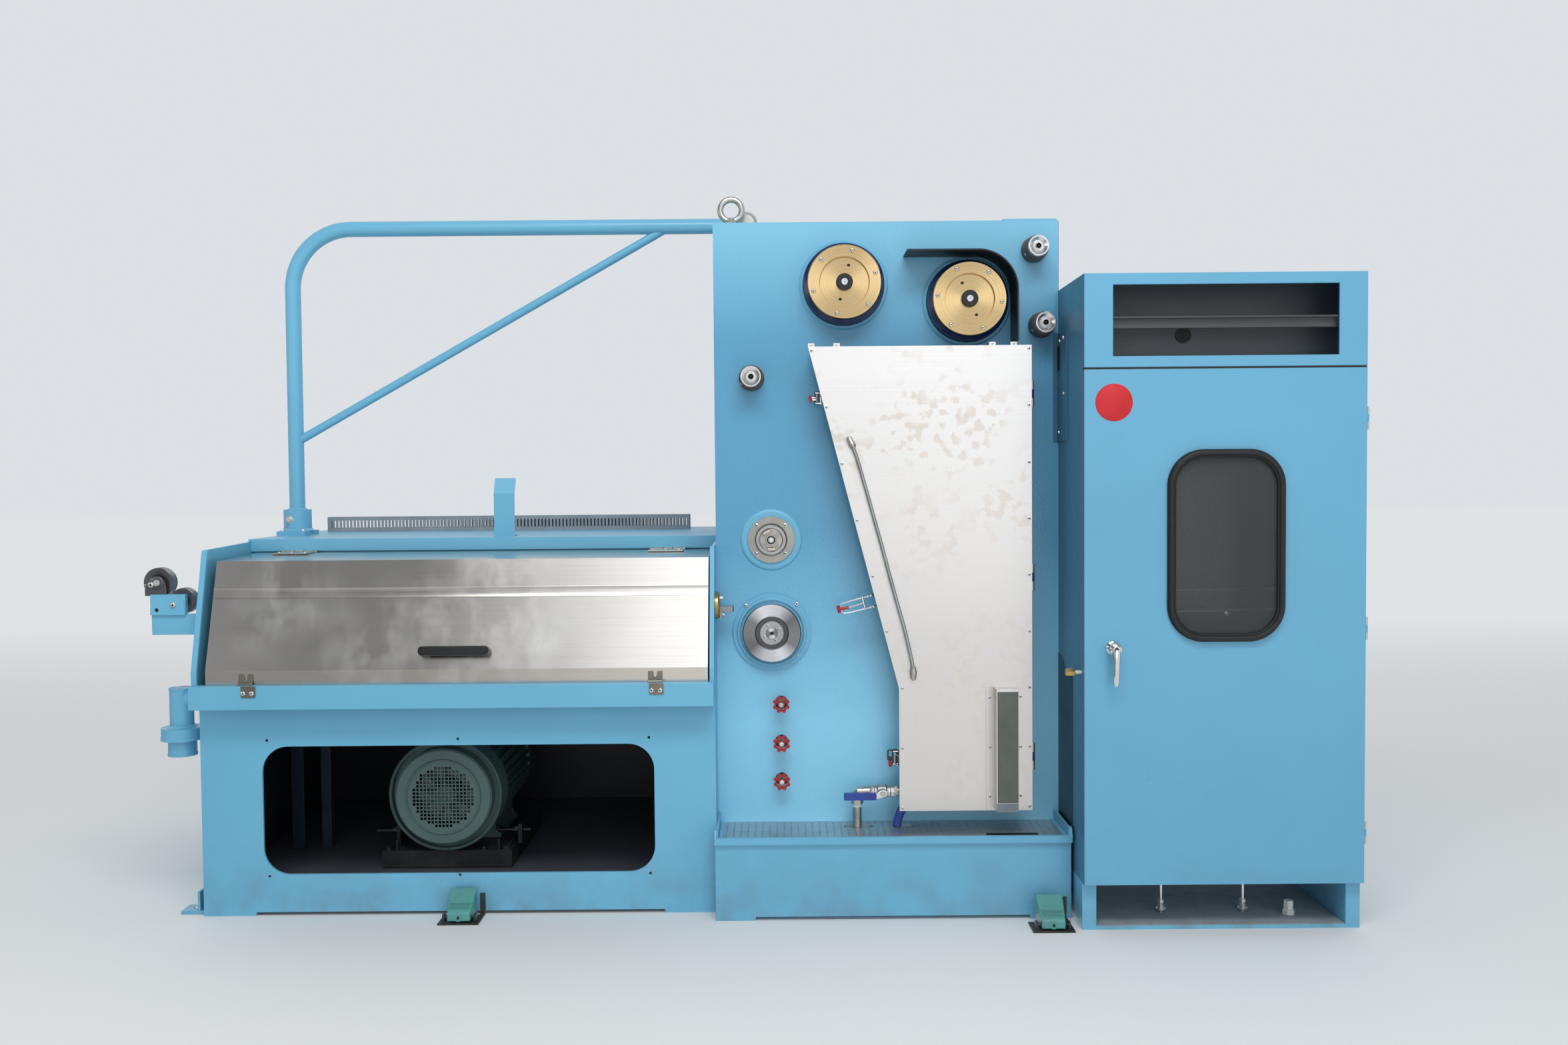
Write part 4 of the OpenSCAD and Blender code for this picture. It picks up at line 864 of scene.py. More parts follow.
# A dark disc of painted shade sits round the nut, and dark outlines of painted shade edge the two kidney
# slots.
nut.plug(face, 11.8, 0.6, 1, steps=40, bottom=0.3)
nut.turn(face, [(0, 0), (8.4, 0), (8.4, 3.0), (7.0, 4.2), (0, 4.6)], 0, steps=28)
for middle_angle in (-88, 118):
    bean = []
    for r, angles in ((31, range(-26, 27, 4)), (22, range(26, -27, -4))):
        turned = [math.radians(middle_angle + a) for a in angles]
        bean += [(x + r * math.cos(a), z + r * math.sin(a)) for a in turned]
    nut.push(bean, "Y", nut_y - 0.5, nut_y - 0.1, 3)
    nut.tube([(px, nut_y - 0.4, pz) for px, pz in bean], 0.6, 1, 6, closed=True)
nut.keep("tension", [bright_steel, dark_painted_shade, satin_ring, beige_plate])

# %% Weld rings
welds = Piece("shaft_plate_welds")
tension_weld = [(77, 0.2), (77, 6), (82, 5.4), (86, 3.2), (88, 0.2)]
pulling_weld = [(90, 0), (90, 5), (92, 6.5), (97, 6.5), (99, 5), (99, 0)]
contact_weld = [(112, 0.2), (116, 6), (122, 6), (127, 0.2)]
for (x, z), y, profile in ((TENSION, 0, tension_weld), (PULLING, -8, pulling_weld),
                           (CONTACT["left"], 0, contact_weld), (CONTACT["right"], 0, contact_weld)):
    welds.turn((x, y, z), profile, steps=72)
welds.keep("machine", [light_blue])
print("lower wheels dressed")

# %% [markdown]
# ## Red handwheels
#
# Behind each handwheel the panel has a dark hole with a brass gland in it. The wheel's middle
# is a chrome nut. The panel's solid is closed there, so the hole is a dark disc of painted
# shade before it.

# %% Handwheel nuts and panel holes
handwheel_x, handwheel_y = 183, -44
handwheel_z = {"top": 564, "middle": 452, "bottom": 343}
holes = Piece("valve_holes")
for name, z in handwheel_z.items():
    nut = Piece(f"handwheel_{name}_nut")
    hexagon = [(0, 0), (7.6, 0), (7.6, 2.6), (6.6, 3.4), (0, 3.4)]
    nut.turn((handwheel_x, handwheel_y, z), hexagon, steps=6, spin=0.4)
    shaft_end = [(0, 0), (3.6, 0), (3.6, 2.4), (2.8, 3.0), (0, 3.0)]
    nut.turn((handwheel_x, handwheel_y - 3, z), shaft_end, steps=20)
    nut.keep(f"wheel_{name}", [chrome])
    panel = (handwheel_x, 0, z)
    holes.plug(panel, 18.5, 0.6, steps=36, bottom=0.15)
    gland = [(0, 0.5), (13, 0.5), (13, 12), (10.5, 16), (9.5, 29), (0, 29)]
    holes.turn(panel, gland, 1, steps=6, spin=0.2)
holes.keep("machine", [dark_painted_shade, brass])
print("handwheels dressed")

# %% [markdown]
# ## The annealer's cover
#
# Small domed screws run down both edges of the cover and sit on four short tabs at its top.
# The braided hose lies on it between two ferrules, and the sight glass stands low at the
# right. The hose could be a curve, but a tube of faces needs no conversion when it is exported.

# %% Cover screws
cover_face = -109
cover_screws = Piece("cover_screws")
left_edge = [(275, 1557), (315, 1401), (357, 1244), (398, 1087), (440, 931), (479, 777), (521, 618),
             (520, 450), (519, 282)]
right_edge = [(874, z) for z in (1559, 1403, 1245, 1089, 933, 775, 619, 453, 285)]
for x, z in left_edge + right_edge:
    dome_screw(cover_screws, (x, cover_face - 1, z), 4.4)
cover_screws.keep("annealer_door_body", [bright_steel, dark_painted_shade])
tabs = Piece("cover_top_tabs")
for x in (274, 344, 774, 833):
    tabs.block((x - 9, cover_face, 1566), (x + 9, cover_face + 2, 1577))
    dome_screw(tabs, (x, cover_face, 1572), 3.2, 1, 2)
tabs.keep("annealer_door_body", [cover_steel, bright_steel, dark_painted_shade], 0.4)

# %% Braided hose with its two fittings
hose_y = cover_face - 12
hose = Piece("annealer_hose_run")
route = [(387, 1289), (397, 1262), (409, 1221), (429, 1149), (449, 1075), (469, 1001), (488, 927),
         (508, 853), (528, 779), (543, 712), (549, 680), (550.5, 664)]
hose.tube(smooth_line([(x, hose_y, z) for x, z in route], 4), 4.8, 0, 14)
lower_fitting = [(0, -1), (8, -1), (9.2, 1), (9.2, 16), (7.6, 18), (7.6, 25), (0, 25)]
lower_elbow = [(0, -4), (5, -3), (7.6, 0), (7.6, 9), (0, 9)]
upper_fitting = [(0, -9), (5, -8), (8, -4), (8, 8), (9, 9), (9, 23), (6.4, 24), (6.4, 27), (0, 27)]
hose.turn((550.5, hose_y, 653), lower_fitting, 1, (0.02, 0, 1), 24)
hose.turn((550.5, hose_y, 646), lower_elbow, 1, UP, 20)
hose.plug((550.5, cover_face, 648), 6.4, 14, 1, steps=20)
hose.turn((378, hose_y, 1311), upper_fitting, 1, (0.42, 0, -0.91), 24)
hose.plug((378, cover_face, 1310), 7.4, 14, 1, steps=20)
hose.keep("annealer_door_body", [hose_braid, fitting_steel], 0, 50, ["annealer_hose"])

# %% Sight glass
glass_back = -158
slab("sight_glass_pane", (779.6, glass_back - 2.5, 306), (834.4, glass_back, 614), sight_pane,
     body="annealer_door_body")
trim = Piece("sight_glass_trim")
trim.block((775, glass_back - 3.4, 615), (835, glass_back, 620.4))
# A dark strip of painted shade runs down the glass's left side.
trim.block((777.2, glass_back - 2.3, 306), (779.4, glass_back, 614), 1)
# The foot strip carries the painted reflection of the tray.
trim.block((775.4, glass_back - 2.7, 282.4), (834.6, glass_back, 305), 2)
trim.keep("annealer_door_body", [bright_steel, dark_painted_shade, sight_foot_painted_reflection], 0.4)
sight_screws = Piece("sight_screws")
for x, heights in ((763, (314, 452, 591)), (848, (316, 453, 593))):
    for z in heights:
        dome_screw(sight_screws, (x, -112.5, z), 4.2)
sight_screws.keep("annealer_door_body", [bright_steel, dark_painted_shade])
print("cover dressed")

# %% [markdown]
# ## Toggle latches
#
# Three chrome toggle clamps hold the cover from its slanting side. Each has a body with two
# threaded rods, a bright lever loop and a red sleeve. The middle one stands open. A bent
# wire is a tube along a few points, with one point more for each bend.

# %% Closed toggle clamps
def clamp_frame(clamp, x0, z0, x1, z1):
    """The dark frame of a closed clamp, with its bright joints."""
    opening = rounded_outline(x0 + 5, z0 + 6, x1 - 5, z1 - 6, 2)
    clamp.push(rounded_outline(x0, z0, x1, z1, 4), "Y", -78, -70, 2, [opening])
    for z in (z0 + 5, z1 - 5):
        clamp.tube([(x0 + 3, -81, z), (x1 + 4, -81, z)], 2.8, 0, 10)
    middle_x = 0.5 * (x0 + x1)
    clamp.tube([(middle_x, -82, z0 + 4), (middle_x, -82, z1 - 4)], 2.2, 0, 8)
    clamp.block((x1 - 2, -76, z0 + 2), (x1 + 3, -66, z1 - 2))


top = Piece("toggle_top")
clamp_frame(top, 282, 1408, 298, 1447)
for z in (1422.5, 1428.5):
    top.tube([(274, -86, z), (288, -84, z)], 1.7, 0, 8)
top.tube([(269.6, -90, 1434), (274.0, -90, 1416)], 4.3, 1, 14)
top.keep("machine", [chrome, red_enamel, dark_steel], 0.4)

bottom = Piece("toggle_bottom")
clamp_frame(bottom, 493, 396, 509, 441)
bottom.tube([(481.6, -80, 438.5), (495, -80, 440.6), (508, -80, 440.6)], 2.2, 2, 8)
bottom.tube([(481.6, -80, 440), (481.4, -80, 418)], 2.2, 2, 8)
bottom.block((479, -84, 412), (493, -76, 421.6), 2)
bottom.tube([(486, -88, 412), (487.6, -88, 395)], 4.6, 1, 14)
for low, high in ((424.7, 433), (395.8, 403)):
    bottom.tube([(500, -84, high), (511, -82, low)], 2.6, 0, 10)
bottom.keep("machine", [chrome, red_enamel, dark_steel], 0.4)


# %% Open toggle clamp
def lying(u, v, y=-86):
    """A point of the open clamp: u along its lever, v across it."""
    return (445.4 - 0.9725 * u - 0.233 * v, y, 863 - 0.233 * u + 0.9725 * v)


middle = Piece("toggle_middle")
for v, long in ((15, 40), (-17, 36)):
    middle.tube([lying(-6, v, -78), lying(long, v)], 2.3, 0, 10)
    for u in (4, 12):
        middle.tube([lying(u, v, -80), lying(u + 4, v, -80)], 4.6, 0, 6)
    middle.tube([lying(-10, v, -78), lying(-4, v, -78)], 4.0, 0, 10)
middle.tube([lying(31, -20), lying(31, 18)], 3.2, 0, 12)
loop = ((31, 15), (70, 14), (92, 12), (97, 4), (95, -10), (86, -16), (60, -17), (31, -17))
middle.tube(smooth_line([lying(u, v) for u, v in loop], 4), 2.6, 0, 10)
middle.tube([lying(34, 0, -87), lying(76, -2, -90)], 2.2, 0, 10)
middle.tube([lying(74, -2, -90), lying(101, -1, -91)], 4.2, 1, 14)
middle.tube([lying(103, -11, -91), lying(103, 10, -91)], 4.3, 1, 14)
middle.keep("machine", [chrome, red_enamel], 0.3)
print("toggle clamps on")

# %% [markdown]
# ## Drain valve
#
# A ball valve sits on the annealer's foot: a chrome body with hexagons, a blue lever that
# lies along it, an elbow, and a steel pipe that drops through the slot in the tray. A blue
# hose hangs beside it. The nuts come from the same lathe, with only six steps.

# %% Drain fittings
pipe_x, pipe_y, pipe_z = 395, -60, 319
body = [(0, 0), (16, 0), (17.5, 2), (17.5, 12), (15, 14), (15, 20), (20, 24), (20, 46), (15, 50), (15, 58),
        (17, 60), (17, 70), (0, 70)]
drain = Piece("drain_fittings")
drain.turn((430, pipe_y, pipe_z), body, 0, ALONG, 8)
drain.turn((466, -84, pipe_z), [(0, -20), (12, -20), (12, -4), (10, -2), (0, -2)], steps=24)
drain.turn((466, -92.4, pipe_z), [(0, 0), (7.6, 0), (7.6, 3.2), (0, 3.4)], steps=6)
elbow = [(432, pipe_z), (412, 318), (399, 311), (pipe_x, 297)]
drain.tube(smooth_line([(x, pipe_y, z) for x, z in elbow], 6), 14.5, 0, 24)
drain.plug((pipe_x, pipe_y, 299), 17.5, 0, 0, UP, 6, bottom=-14)
drain.plug((pipe_x, pipe_y, 222), 12.8, 66, 0, UP, 28)
tape = [(0, 0), (13.8, 0), (14.2, 3), (13.6, 5), (14.2, 8), (0, 9)]
drain.turn((500, pipe_y, pipe_z), tape, 1, ALONG, 24)
drain.turn((pipe_x, pipe_y, 276), tape, 1, UP, 24)
drain.plug((509, pipe_y, pipe_z), 12.6, 11, 0, ALONG)
drain.keep("machine", [fitting_steel, tape_white])
hose = Piece("blue_drain_hose")
route = [(532, -64, 290), (525, -64, 276), (517, -62, 258), (510, -62, 238), (507, -62, 221)]
hose.tube(smooth_line(route, 5), 12.4, 0, 20)
hose.keep("machine", [lever_blue])
lever = Piece("drain_lever_sleeve")
lever.push(rounded_outline(356.6, 300.6, 449, 321.4, 9), "Y", -93.4, -83, 0)
lever_neck = [(446, 303), (464, 306.6), (478.4, 312), (478.4, 326), (470, 328.4), (462, 328), (446, 320)]
lever.push(lever_neck, "Y", -92.6, -84, 1)
lever.keep("lever", [lever_blue, chrome], 1.5)
print("annealer side dressed")

# %% [markdown]
# ## The hood and its tub
#
# The stainless hood is folded: a joggle runs along it a hand below the top, and its lower
# edge turns down. Two hinges with bright leaves carry it, and two notched hooks catch it.
# The solid's sheet is flat, so the joggle is a thin strip pushed along it.

# %% Hood details
hood_slope = math.atan(93 / 296)


def on_slope(z):
    """Y of the hood's sloping face at height z."""
    return -168 + (z - 690.5) * math.tan(hood_slope)


fold = Piece("hood_joggle")
fold.push([(on_slope(911.5) + 0.3, 911.5), (on_slope(911.5) - 4.0, 911.2), (on_slope(898.5) - 0.1, 898.5),
           (on_slope(885) - 3.6, 885), (on_slope(884.6) + 0.3, 884.6)], "X", -1392, -18)
fold.keep("hood", [hood_steel])
low_y, high_y = on_slope(700), on_slope(978)
side_fold = [(low_y + 0.5, 655), (low_y + 16, 655), (low_y + 16, 700), (high_y + 18, 978),
             (high_y + 2.5, 978), (low_y + 0.5, 700)]
sides = Piece("hood_side_folds")
for x in (-1393.4, -19.4):
    sides.push(side_fold, "X", x, x + 2.4)
sides.keep("hood", [hood_steel])
bar = Piece("hood_grip_bar")
bar.push(rounded_outline(-97, -12.5, 97, 12.5, 11, 8), "Y", -34.6, -19.4)
for x in (-84, 84):
    bar.push(rounded_outline(x - 12.5, -12.5, x + 12.5, 12.5, 8, 6), "Y", -21, -1)
bar.moved(Matrix.Translation((-709, on_slope(735), 735)) @ Matrix.Rotation(-hood_slope, 4, "X"))
bar.keep("hood", [black_plastic], 3.0, 35, ["hood_handle"])

# %% Hood catches
half = 19.5
tub_y, catch_z = -200, 622
catches = Piece("hood_catch_brackets")
for x in (-1263, -155):
    outline = rounded_outline(x - half, catch_z, x + half, catch_z + 30, 3, 3)
    catches.push(outline, "Y", tub_y - 3, tub_y)
    catches.block((x - half, tub_y - 6, catch_z + 28), (x + half, tub_y + 1, catch_z + 31))
    for dx in (-13, 10):
        dome_screw(catches, (x + dx, tub_y - 3, catch_z + 12), 6.6, 1, 2)
catches.keep("machine", [dull_zinc, bright_steel, dark_painted_shade], 0.5)
notched = [(-half, 0), (half, 0), (half, 27), (6, 27), (4.5, 14), (0, 9.5), (-4.5, 14), (-6, 27), (-half, 27)]
hooks = Piece("hood_catch_hooks")
for x, lean in ((-1281, 0.10), (-161, 0.0)):
    first = len(hooks.bm.verts)
    hooks.push(notched, "Y", -4, 0)
    hooks.tube([(-half, -5.5, -1), (half, -5.5, -1)], 6.2, 0, 16)
    hooks.moved(Matrix.Translation((x, -171, 654)) @ Matrix.Rotation(-lean, 4, "X"), first)
hooks.keep("hood", [dull_zinc], 0.5)

# %% Hood hinge leaves
half = 52
leaves = Piece("hood_hinge_leaves")
flaps = Piece("hood_hinge_flaps")
for x in (-1266, -156):
    leaves.block((x - half, 206, 994), (x + half, 231.5, 996.2))
    flaps.block((x - half, 122, 993.0), (x + half, 203, 996.4))
    for dx in (-38, 0, 38):
        dome_screw(leaves, (x + dx, 228, 996), 3.6, 1, 2, UP)
        dome_screw(flaps, (x + dx, 150, 996.4), 3.6, 1, 2, UP)
    for dx in (-43, -14.3, 14.3, 43):
        leaves.turn((x + dx, 215, 992), [(6, -0.8), (8.5, -0.8), (8.5, 0.8), (6, 0.8)], 2, ALONG, 20)
leaves.keep("machine", [zinc_plated, bright_steel, dark_painted_shade], 0.4)
flaps.keep("hood", [zinc_plated, bright_steel, dark_painted_shade], 0.4)
print("hood dressed")

# %% [markdown]
# ## The left end: rollers and drain
#
# Two dark rollers guide the wire in, on a bracket of folded plate. A dark plate with the
# shaft's head covers the rear one's middle. A wide flange with a stub hangs below the bracket
# for the coolant.

# %% Roller hubs
roller_face = -92
for name, (x, z), r in (("rear", (-1550, 929), 41), ("front", (-1483, 878), 35)):
    hub = Piece(f"roller_{name}_face")
    flat = 0.54 * r
    profile = [(14, -26.2), (r + 0.6, -26.2), (r + 0.6, -21), (r - 5, -17), (r - 5, -9), (r + 0.6, -5),
               (r + 0.6, -0.5), (r - 1, 0.7), (flat + 1, 0.7), (flat, 0.2)]
    hub.turn((x, roller_face, z), profile, steps=48)
    # The dark ring in the middle is painted shade for the hub's recess.
    hub.turn((x, roller_face, z), [(flat, 0.2), (9, 0.2)], 2, steps=48)
    hub.keep(f"roller_{name}", [roller_steel, chrome, dark_painted_shade])

# %% Roller bracket
arm = Piece("roller_bracket_face")
lower_plate = [(-1567, 842), (-1428, 842), (-1428, 784), (-1556, 784), (-1567, 795)]
front_plate = [(-1567.4, 840), (-1471, 840), (-1474, 877), (-1492.6, 895), (-1549, 895), (-1566, 878)]
dark_plate = [(-1584, 893), (-1584, 912), (-1575, 933), (-1558, 946), (-1540, 946), (-1528, 934),
              (-1524, 914), (-1524, 893)]
front_y, dark_y = -109.4, -102
arm.push(lower_plate, "Y", -101.4, -99.8)
arm.push(front_plate, "Y", front_y - 0.2, front_y + 1.6)
arm.push(dark_plate, "Y", dark_y, dark_y + 1.6, 3)
arm.plug((-1549, front_y, 854), 5.4, 0.4, 2)
shaft = (-1550, dark_y, 929)
arm.turn(shaft, [(0, 0), (19, 0), (19, 1.4), (17.4, 2.4), (11, 2.4), (10, 0.8)], 3, steps=44)
arm.turn(shaft, [(10, 0.8), (10, 3), (8.6, 5), (0, 5.4)], 1, steps=36)
for x, y, z, r in ((-1503, front_y, 868, 8.6), (-1566, dark_y, 924, 9), (-1565, dark_y, 939, 2.4),
                   (-1582, dark_y, 924, 2.4)):
    dome_screw(arm, (x, y, z), r, 1, 2)
arm.keep("machine", [light_blue, bright_steel, dark_painted_shade, roller_steel], 0.8)

# %% Coolant flange
flange = Piece("drain_spout_rings")
for z, profile, steps in ((484, [(54, 0), (56.5, 0), (56.5, 10), (55.2, 11), (55.2, 34.6), (33, 34.6)], 56),
                          (518, [(32.4, 0.4), (42, 0.4), (33, 8)], 48),
                          (439, [(36, 0), (39.5, 0), (39.5, 6), (38.4, 7)], 48),
                          (624, [(0, 6), (33, 6), (33, 0)], 48)):
    flange.turn((-1508, -60, z), profile, 0, UP, steps)
flange.keep("machine", [light_blue])

# %% Floor lug and rail socket
lug_x, lug_y = -1457, -84
lug = Piece("anchor_lug_parts")
lug.block((lug_x + 4, lug_y - 28, 9), (lug_x + 11, lug_y + 26, 64))
hex_bolt(lug, (lug_x, lug_y, 10), 9, 12, 1)
lug.turn((lug_x, lug_y, 22), [(0, 0), (6, 0), (6, 20), (5, 21), (0, 21)], 1, UP, 20)
lug.keep("machine", [light_blue, bright_steel], 0.8)
rail_x, rail_y, deck_z = -1376, 505, 1049
socket = Piece("rail_socket_parts")
socket.turn((rail_x, rail_y, deck_z), [(43.4, 0), (52, 0), (44, 8)], 0, UP, 48)
socket.turn((rail_x, rail_y, deck_z + 68), [(24.6, 0), (31, 0), (25, 6)], 0, UP, 40)
hex_bolt(socket, (rail_x - 10, rail_y - 41.5, deck_z + 36), 8, 7, 1, FORWARD)
for dx in (-33, 33):
    hex_bolt(socket, (rail_x + dx, rail_y - 45, deck_z), 6, 5, 1)
socket.keep("machine", [light_blue, bright_steel], 0.5)
print("left end dressed")

# %% [markdown]
# ## The motor behind its window
#
# The grille and the ribs are in the solids. Added here: the fan's disc, the bare plate on
# top, the feet's bolts, the rear bearing and the rails and screws that the motor slides on.

# %% Motor bolts and slide screws
motor_x, motor_z = -804, 286
motor = Piece("motor_bolts")
for dx in (-115, 115):
    for y in (250, 460):
        hex_bolt(motor, (motor_x + dx, y, 140), 9, 9)
for dx in (-150, 150):
    motor.tube([(motor_x + dx, 96, 150), (motor_x + dx, 96, 118)], 6)
for x in (-676, -1040):
    motor.tube([(x, 190, 152), (x + 100, 190, 152)], 7)
    motor.plug((x + 50, 190, 152), 13, 12, 0, ALONG, 6)
    motor.block((x + 66, 160, 118), (x + 78, 220, 176), 1)
motor.keep("machine", [dark_steel, black_iron], 0.5)

# %% Motor fan, plate, bearing and rails
fan = Piece("motor_fan_disc")
# The large dark disc is painted shade inside the cowl, behind the fan.
fan.turn((motor_x, 155.4, motor_z), [(0, 0), (150, 0)], 1, steps=48)
fan.band((motor_x, 132, motor_z), 46, 90, 0, 2, 0, 48)
fan.keep("machine", [satin_ring, dark_painted_shade])
slab("motor_bare_plate", (-826, 168, 452), (-764, 169.4, 480), dark_steel)
ring = Piece("motor_rear_bearing")
bell = [(30, 0), (150, 0), (150, -14), (110, -20), (60, -34), (30, -34)]
ring.turn((motor_x, 590, motor_z), bell, steps=56)
ring.keep("machine", [motor_grey_green])
rails = Piece("motor_slide_rails")
for x in (-985, -636):
    rails.block((x, 92, 118), (x + 13, 560, 126))
rails.block((-994, 84, 70), (-614, 88.4, 76))
for x in (-978, -700, -640):
    hex_bolt(rails, (x, 104, 118), 7, 6, 1)
rails.keep("machine", [black_iron, dark_steel], 0.5)
pillar = Piece("base_inner_parts")
pillar.block((-1338, 300, 67), (-1300, 306, 586), 1)
pillar.block((-1246, 300, 67), (-1216, 330, 586), 1)
for x in (-1268, -148):
    pillar.block((x - 8, -121, 430), (x + 8, -118, 470))
pillar.keep("machine", [light_blue, shadow_blue], 1.0)
print("motor dressed")

# %% [markdown]
# ## The tray and the tower's small parts
#
# The wire leaves the tower through a brass ring with a grey guide under it. A strip, a lip
# and a lifting eye finish the tower, and the tray has corner gussets and a rolled edge.

# %% Tower parts
wire_hole = Piece("wire_exit_parts")
brass_ring = [(0, 0.2), (38, 0.2), (38, 9), (35, 12.4), (24, 13.6), (9, 13.6), (0, 13.6)]
wire_hole.turn((0, -60, 850), brass_ring, 0, ALONG, 48)
for low, high in (((13, -74, 832), (51, -46, 847.4)), ((49, -74, 832), (51, -46, 852)),
                  ((13, -78, 812), (21, -42, 834))):
    wire_hole.block(low, high, 1)
for place in ((20, -66, 871), (24, -66, 824.7)):
    wire_hole.turn(place, [(0, -8), (5, -8), (5, 2), (3.6, 3), (0, 3)], 2, ALONG, 20)
wire_hole.keep("machine", [brass, duct_grey, bright_steel], 0.5, 35, ["wire_exit"])
slab("tower_top_lip", (821, 1, 1928), (974, 24, 1934.5), light_blue, 0.8)
slab("tower_side_strip", (977.5, 0.5, 620), (979.2, 60, 1926), navy_blue)
eye_parts = Piece("lifting_eye_parts")
eye_parts.turn((50, 60, 1930), [(27, 0), (27, 5), (20, 9), (14, 18), (11, 24)], 0, UP, 36)
disc = (92, 96, 1946)
eye_parts.turn(disc, [(0, -4), (33, -4), (33, 3), (31, 5), (0, 5)], 1, steps=48)
eye_parts.turn(disc, [(24, 4.8), (28, 6), (30, 4.8)], 1, steps=48)
eye_parts.tube([(66, 60, 1931), (72, 64, 1944), (74, 66, 1952)], 2.4, 2, 8)
eye_parts.keep("machine", [zinc_plated, zinc_plated, tape_white])

# %% Tray parts
tray_top = 219
slab("tray_cut_shadow", (746, -189, tray_top + 0.05), (889, -143, tray_top + 0.3), dark_painted_shade)
tray = Piece("tray_parts")
tray.block((0.4, -214.6, 208.6), (969, -214.9, 209.6))
for x in (14, 958):
    tray.block((x - 5, -196, tray_top), (x + 5, -8, tray_top + 3))
tray.keep("machine", [light_blue], 0.4)
for name, x in (("left", -1.6), ("right", 966)):
    bracket = Piece(f"tray_corner_{name}")
    bracket.push([(-216, 226), (-205, 247), (-198, 250), (-190, 250), (-205, 226)], "X", x, x + 6)
    bracket.keep("machine", [light_blue], 0.5)
edge = Piece("tray_rolled_edge")
edge.tube([(-1, -214, 227.4), (971, -214, 227.4)], 1.6, 0, 10)
edge.keep("machine", [light_blue])
print("tower and tray dressed")

# %% [markdown]
# ## The cabinet
#
# A red round sticker without any mark, a chrome swing handle on its rose, the thick rubber
# profile round the window, a dark gap above the door, and what shows through the openings.

# %% Cabinet front
door_face = -325
sticker = Piece("round_sticker")
sticker.turn((1056, door_face, 1396), [(0, 0.5), (48.6, 0.5), (49, 0.3), (49, -0.2)], steps=72)
sticker.keep("cabinet_door_body", [sticker_red])
seal = Piece("window_seal_profile")
x0, z0, x1, z1, corner = 1194.5, 769.5, 1501.5, 1272.5, 95
for inset, y, radius in ((9.5, -333.5, 8.6), (17.5, -331.9, 4.2)):
    outline = rounded_outline(x0 + inset, z0 + inset, x1 - inset, z1 - inset, corner - inset, 14)
    seal.tube([(x, y, z) for x, z in outline], radius, closed=True)
seal.keep("cabinet_door_body", [black_rubber], 0, 60)

# %% Swing handle and the gap above the door
handle_x, handle_z = 1053, 755
rose = [(0, 0), (19, 0), (19, 2), (17.6, 4), (15.5, 5), (15.5, 22), (17, 25), (17, 34), (14.5, 38.5),
        (7, 40.6), (0, 41)]
grip = [(-357, 752, 13), (-360, 736, 11.4), (-362, 712, 9), (-362.4, 690, 8.2), (-361, 670, 8.6),
        (-359.5, 660, 5.4)]
handle = Piece("swing_handle")
handle.turn((handle_x, door_face - 0.3, handle_z), rose, steps=44)
handle.tube([(handle_x, y, z) for y, z, r in grip], [r for y, z, r in grip], 0, 20)
handle.keep("door_handle_body", [chrome], 0, 50, ["door_handle"])
keyhole = Piece("handle_lock")
keyhole.plug((handle_x, -366, handle_z), 6, 0.8)
keyhole.keep("door_handle_body", [dark_steel])
slab("door_gap_shadow", (979, -324, 1482.2), (1714.4, -300.6, 1486.8), black_rubber)

# %% Cabinet inside and upper opening
# The shelves and back inside the cabinet are in the darker grey, with the cabinet's shade painted in.
inside = Piece("cabinet_inside_parts")
for z in (880, 819):
    inside.block((1000, -20, z - 4), (1698, 40, z))
for x, z in ((1258, 812), (1452, 812), (1262, 872)):
    dome_screw(inside, (x, -20, z - 2), 7, 1, 2)
inside.block((994, 190, 300), (1698, 200, 1300))
inside.keep("machine", [grey_panel_shaded, bright_steel, dark_painted_shade], 0.8)
# The dark disc is painted shade for a hole, and the shelf is in the darker grey with shade painted in.
upper = Piece("upper_opening_parts")
upper.plug((1275, -194.4, 1583), 21, 0.5, 1, steps=36)
upper.block((1056, -317, 1615), (1641, -300, 1619.4))
upper.keep("machine", [grey_panel_shaded, dark_painted_shade])
print("cabinet dressed")

# %% Plinth studs and gland
stud_y = -200
studs = Piece("plinth_studs")
for x in (1215, 1438):
    studs.turn((x, stud_y, 10), [(0, 0), (4.4, 0), (4.4, 107), (0, 108)], 0, UP, 16)
    for z in (26, 40):
        studs.plug((x, stud_y, z), 9, 8, 0, UP, 6)
    studs.plug((x, stud_y, 22), 14, 3, 0, UP)
studs.plug((1492, -150, 118), 44, 12, 0, UP, 40)
studs.turn((1556, -220, 10), [(0, 0), (17, 0), (17, 14), (13, 16), (13, 40), (0, 41)], 1, UP, 6)
studs.keep("machine", [bright_steel, tape_white])
slab("plinth_floor", (1018, -298, 10.2), (1675, 240, 12.5), felt_grey)

# %% Fittings on the cabinet's left side
LEFTWARD = (-1, 0, 0)
wall_x, plug_y, plug_z = 978, -291, 686.5
side = Piece("cabinet_side_fittings")
nut_profile = [(0, 0), (10.5, 0), (11.4, 3), (11.4, 20), (10, 24), (0, 24)]
side.turn((wall_x - 18, plug_y, plug_z), nut_profile, 0, LEFTWARD, 6, spin=0.3)
thread = [(0, 0), (4.8, 0), (5.2, 4), (4.4, 5), (5.2, 9), (4.4, 10), (5.2, 14), (5.2, 18), (0, 18)]
side.turn((wall_x, plug_y, plug_z), thread, 1, LEFTWARD, 20)
side.keep("machine", [brass, tape_white])
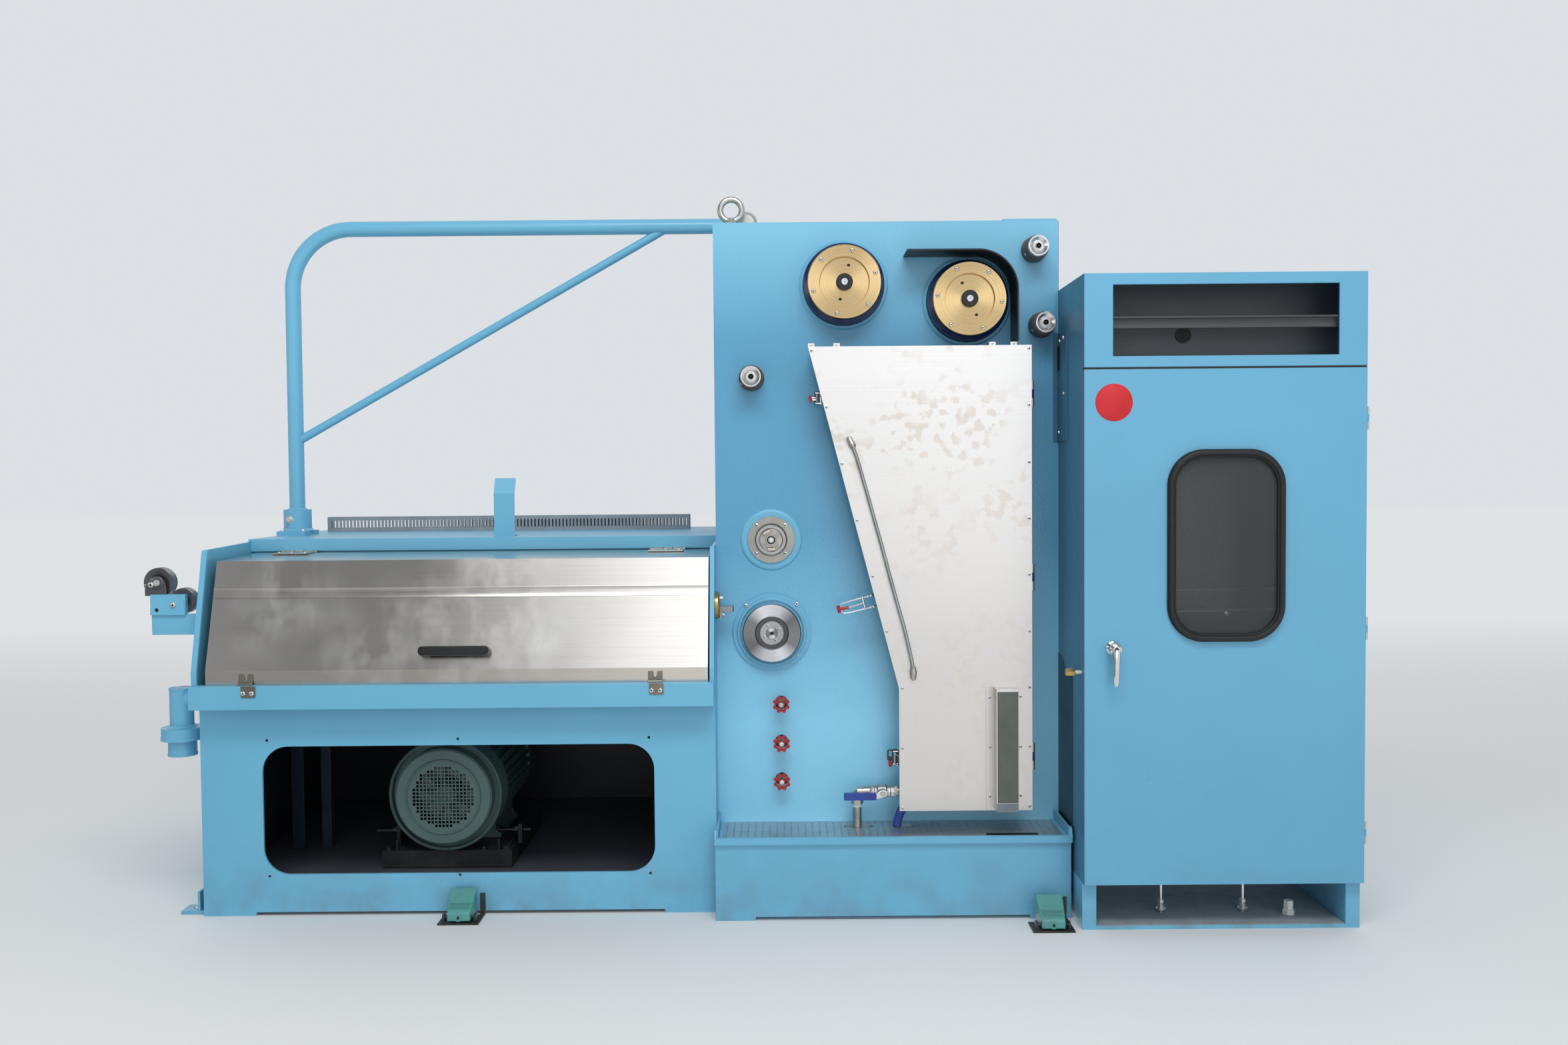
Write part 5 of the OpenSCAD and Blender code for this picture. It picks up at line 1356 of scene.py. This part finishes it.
# The plate's darker blue is painted shade, and its slot is a dark strip of painted shade.
plate = Piece("cabinet_side_plate")
plate.block((963, -3, 1303), (977.4, -0.2, 1610))
plate.block((974.6, -126, 1303), (977.8, -3, 1600))
plate.block((974.2, -38, 1503), (975, -4, 1572), 1)
for y, z in ((-84, 1590), (-36, 1585), (-88, 1435), (-24, 1329)):
    dome_screw(plate, (974.8, y, z), 5, 2, 1, LEFTWARD)
plate.keep("machine", [side_plate_shaded_blue, dark_painted_shade, bright_steel], 0.5)
# Painted shade: a thin dark sheet low on the cabinet's left side, where the shade between cabinet and tower
# falls.
side_shade_sheet = Piece("cabinet_side_painted_shade")
side_shade_sheet.push([(-186, 130), (-2, 130), (-2, 700), (-52, 690), (-100, 664), (-186, 659)], "X", 976.6, 977.8)
side_shade_sheet.keep("machine", [shadow_blue])
print("cabinet's details done")

# %% [markdown]
# ## The foot pedals
#
# The pedals are castings with a ribbed toe and a stippled slope, on a black base plate. The
# ribs are thin bars and the stipple is a grid of small cones, narrowed with the casting.

# %% Pedal castings
def narrowed(piece, x, nose):
    """A pedal is wider at its heel than at its toe."""
    for v in piece.bm.verts:
        v.co.x = x + (v.co.x - x) * (0.80 + 0.13 * min(max((v.co.y - nose) / 67, 0), 1))


def pedal(name, x, nose):
    """x is the pedal's middle and nose the Y of its toe."""
    toe, bend, heel = (nose + 8, 36), (nose + 30, 52), (nose + 67, 82)
    casting = Piece(f"pedal_{name}_casting")
    casting.push([(nose, 7), (nose, 30), toe, bend, heel, (nose + 67, 7)], "X", x - 39, x + 39)
    narrowed(casting, x, nose)
    casting.keep(f"pedal_{name}", [teal_hammer], 4.0, 35, [f"foot_pedal_{name}"])
    tread = Piece(f"pedal_{name}_tread")
    for k in range(6):
        t = (k + 0.7) / 6.4
        y, z = toe[0] + 22 * t - 0.6, toe[1] + 16 * t + 0.8
        tread.tube([(x - 33, y, z), (x + 33, y, z)], 1.5, 0, 8)
    for row in range(8):
        t = (row + 0.9) / 9.0
        y, z = bend[0] + 37 * t, bend[1] + 30 * t - 0.2
        for col in range(12):
            px = x - 31 + col * 5.6 + (2.8 if row % 2 else 0)
            tread.turn((px, y, z), [(1.9, 0), (1.2, 0.9), (0, 1.1)], 0, (0, -0.63, 0.78), 6)
    tread.tube([(x - 36, nose + 29, 52.2), (x + 36, nose + 29, 52.2)], 1.8, 0, 10)
    tread.push(rounded_outline(x - 12, 8, x + 12, 29, 9), "Y", nose - 1.4, nose + 2)
    dome_screw(tread, (x, nose - 1.4, 18), 4.6, 1, 2)
    narrowed(tread, x, nose)
    tread.keep(f"pedal_{name}", [teal_hammer, dark_steel, dark_painted_shade])


pedal("left", -700, -215)
pedal("right", 900, -315)
print("pedals dressed")

# %% Measure and finish
print("added pieces:", len(tally), "with about", sum(tally.values()), "triangles")
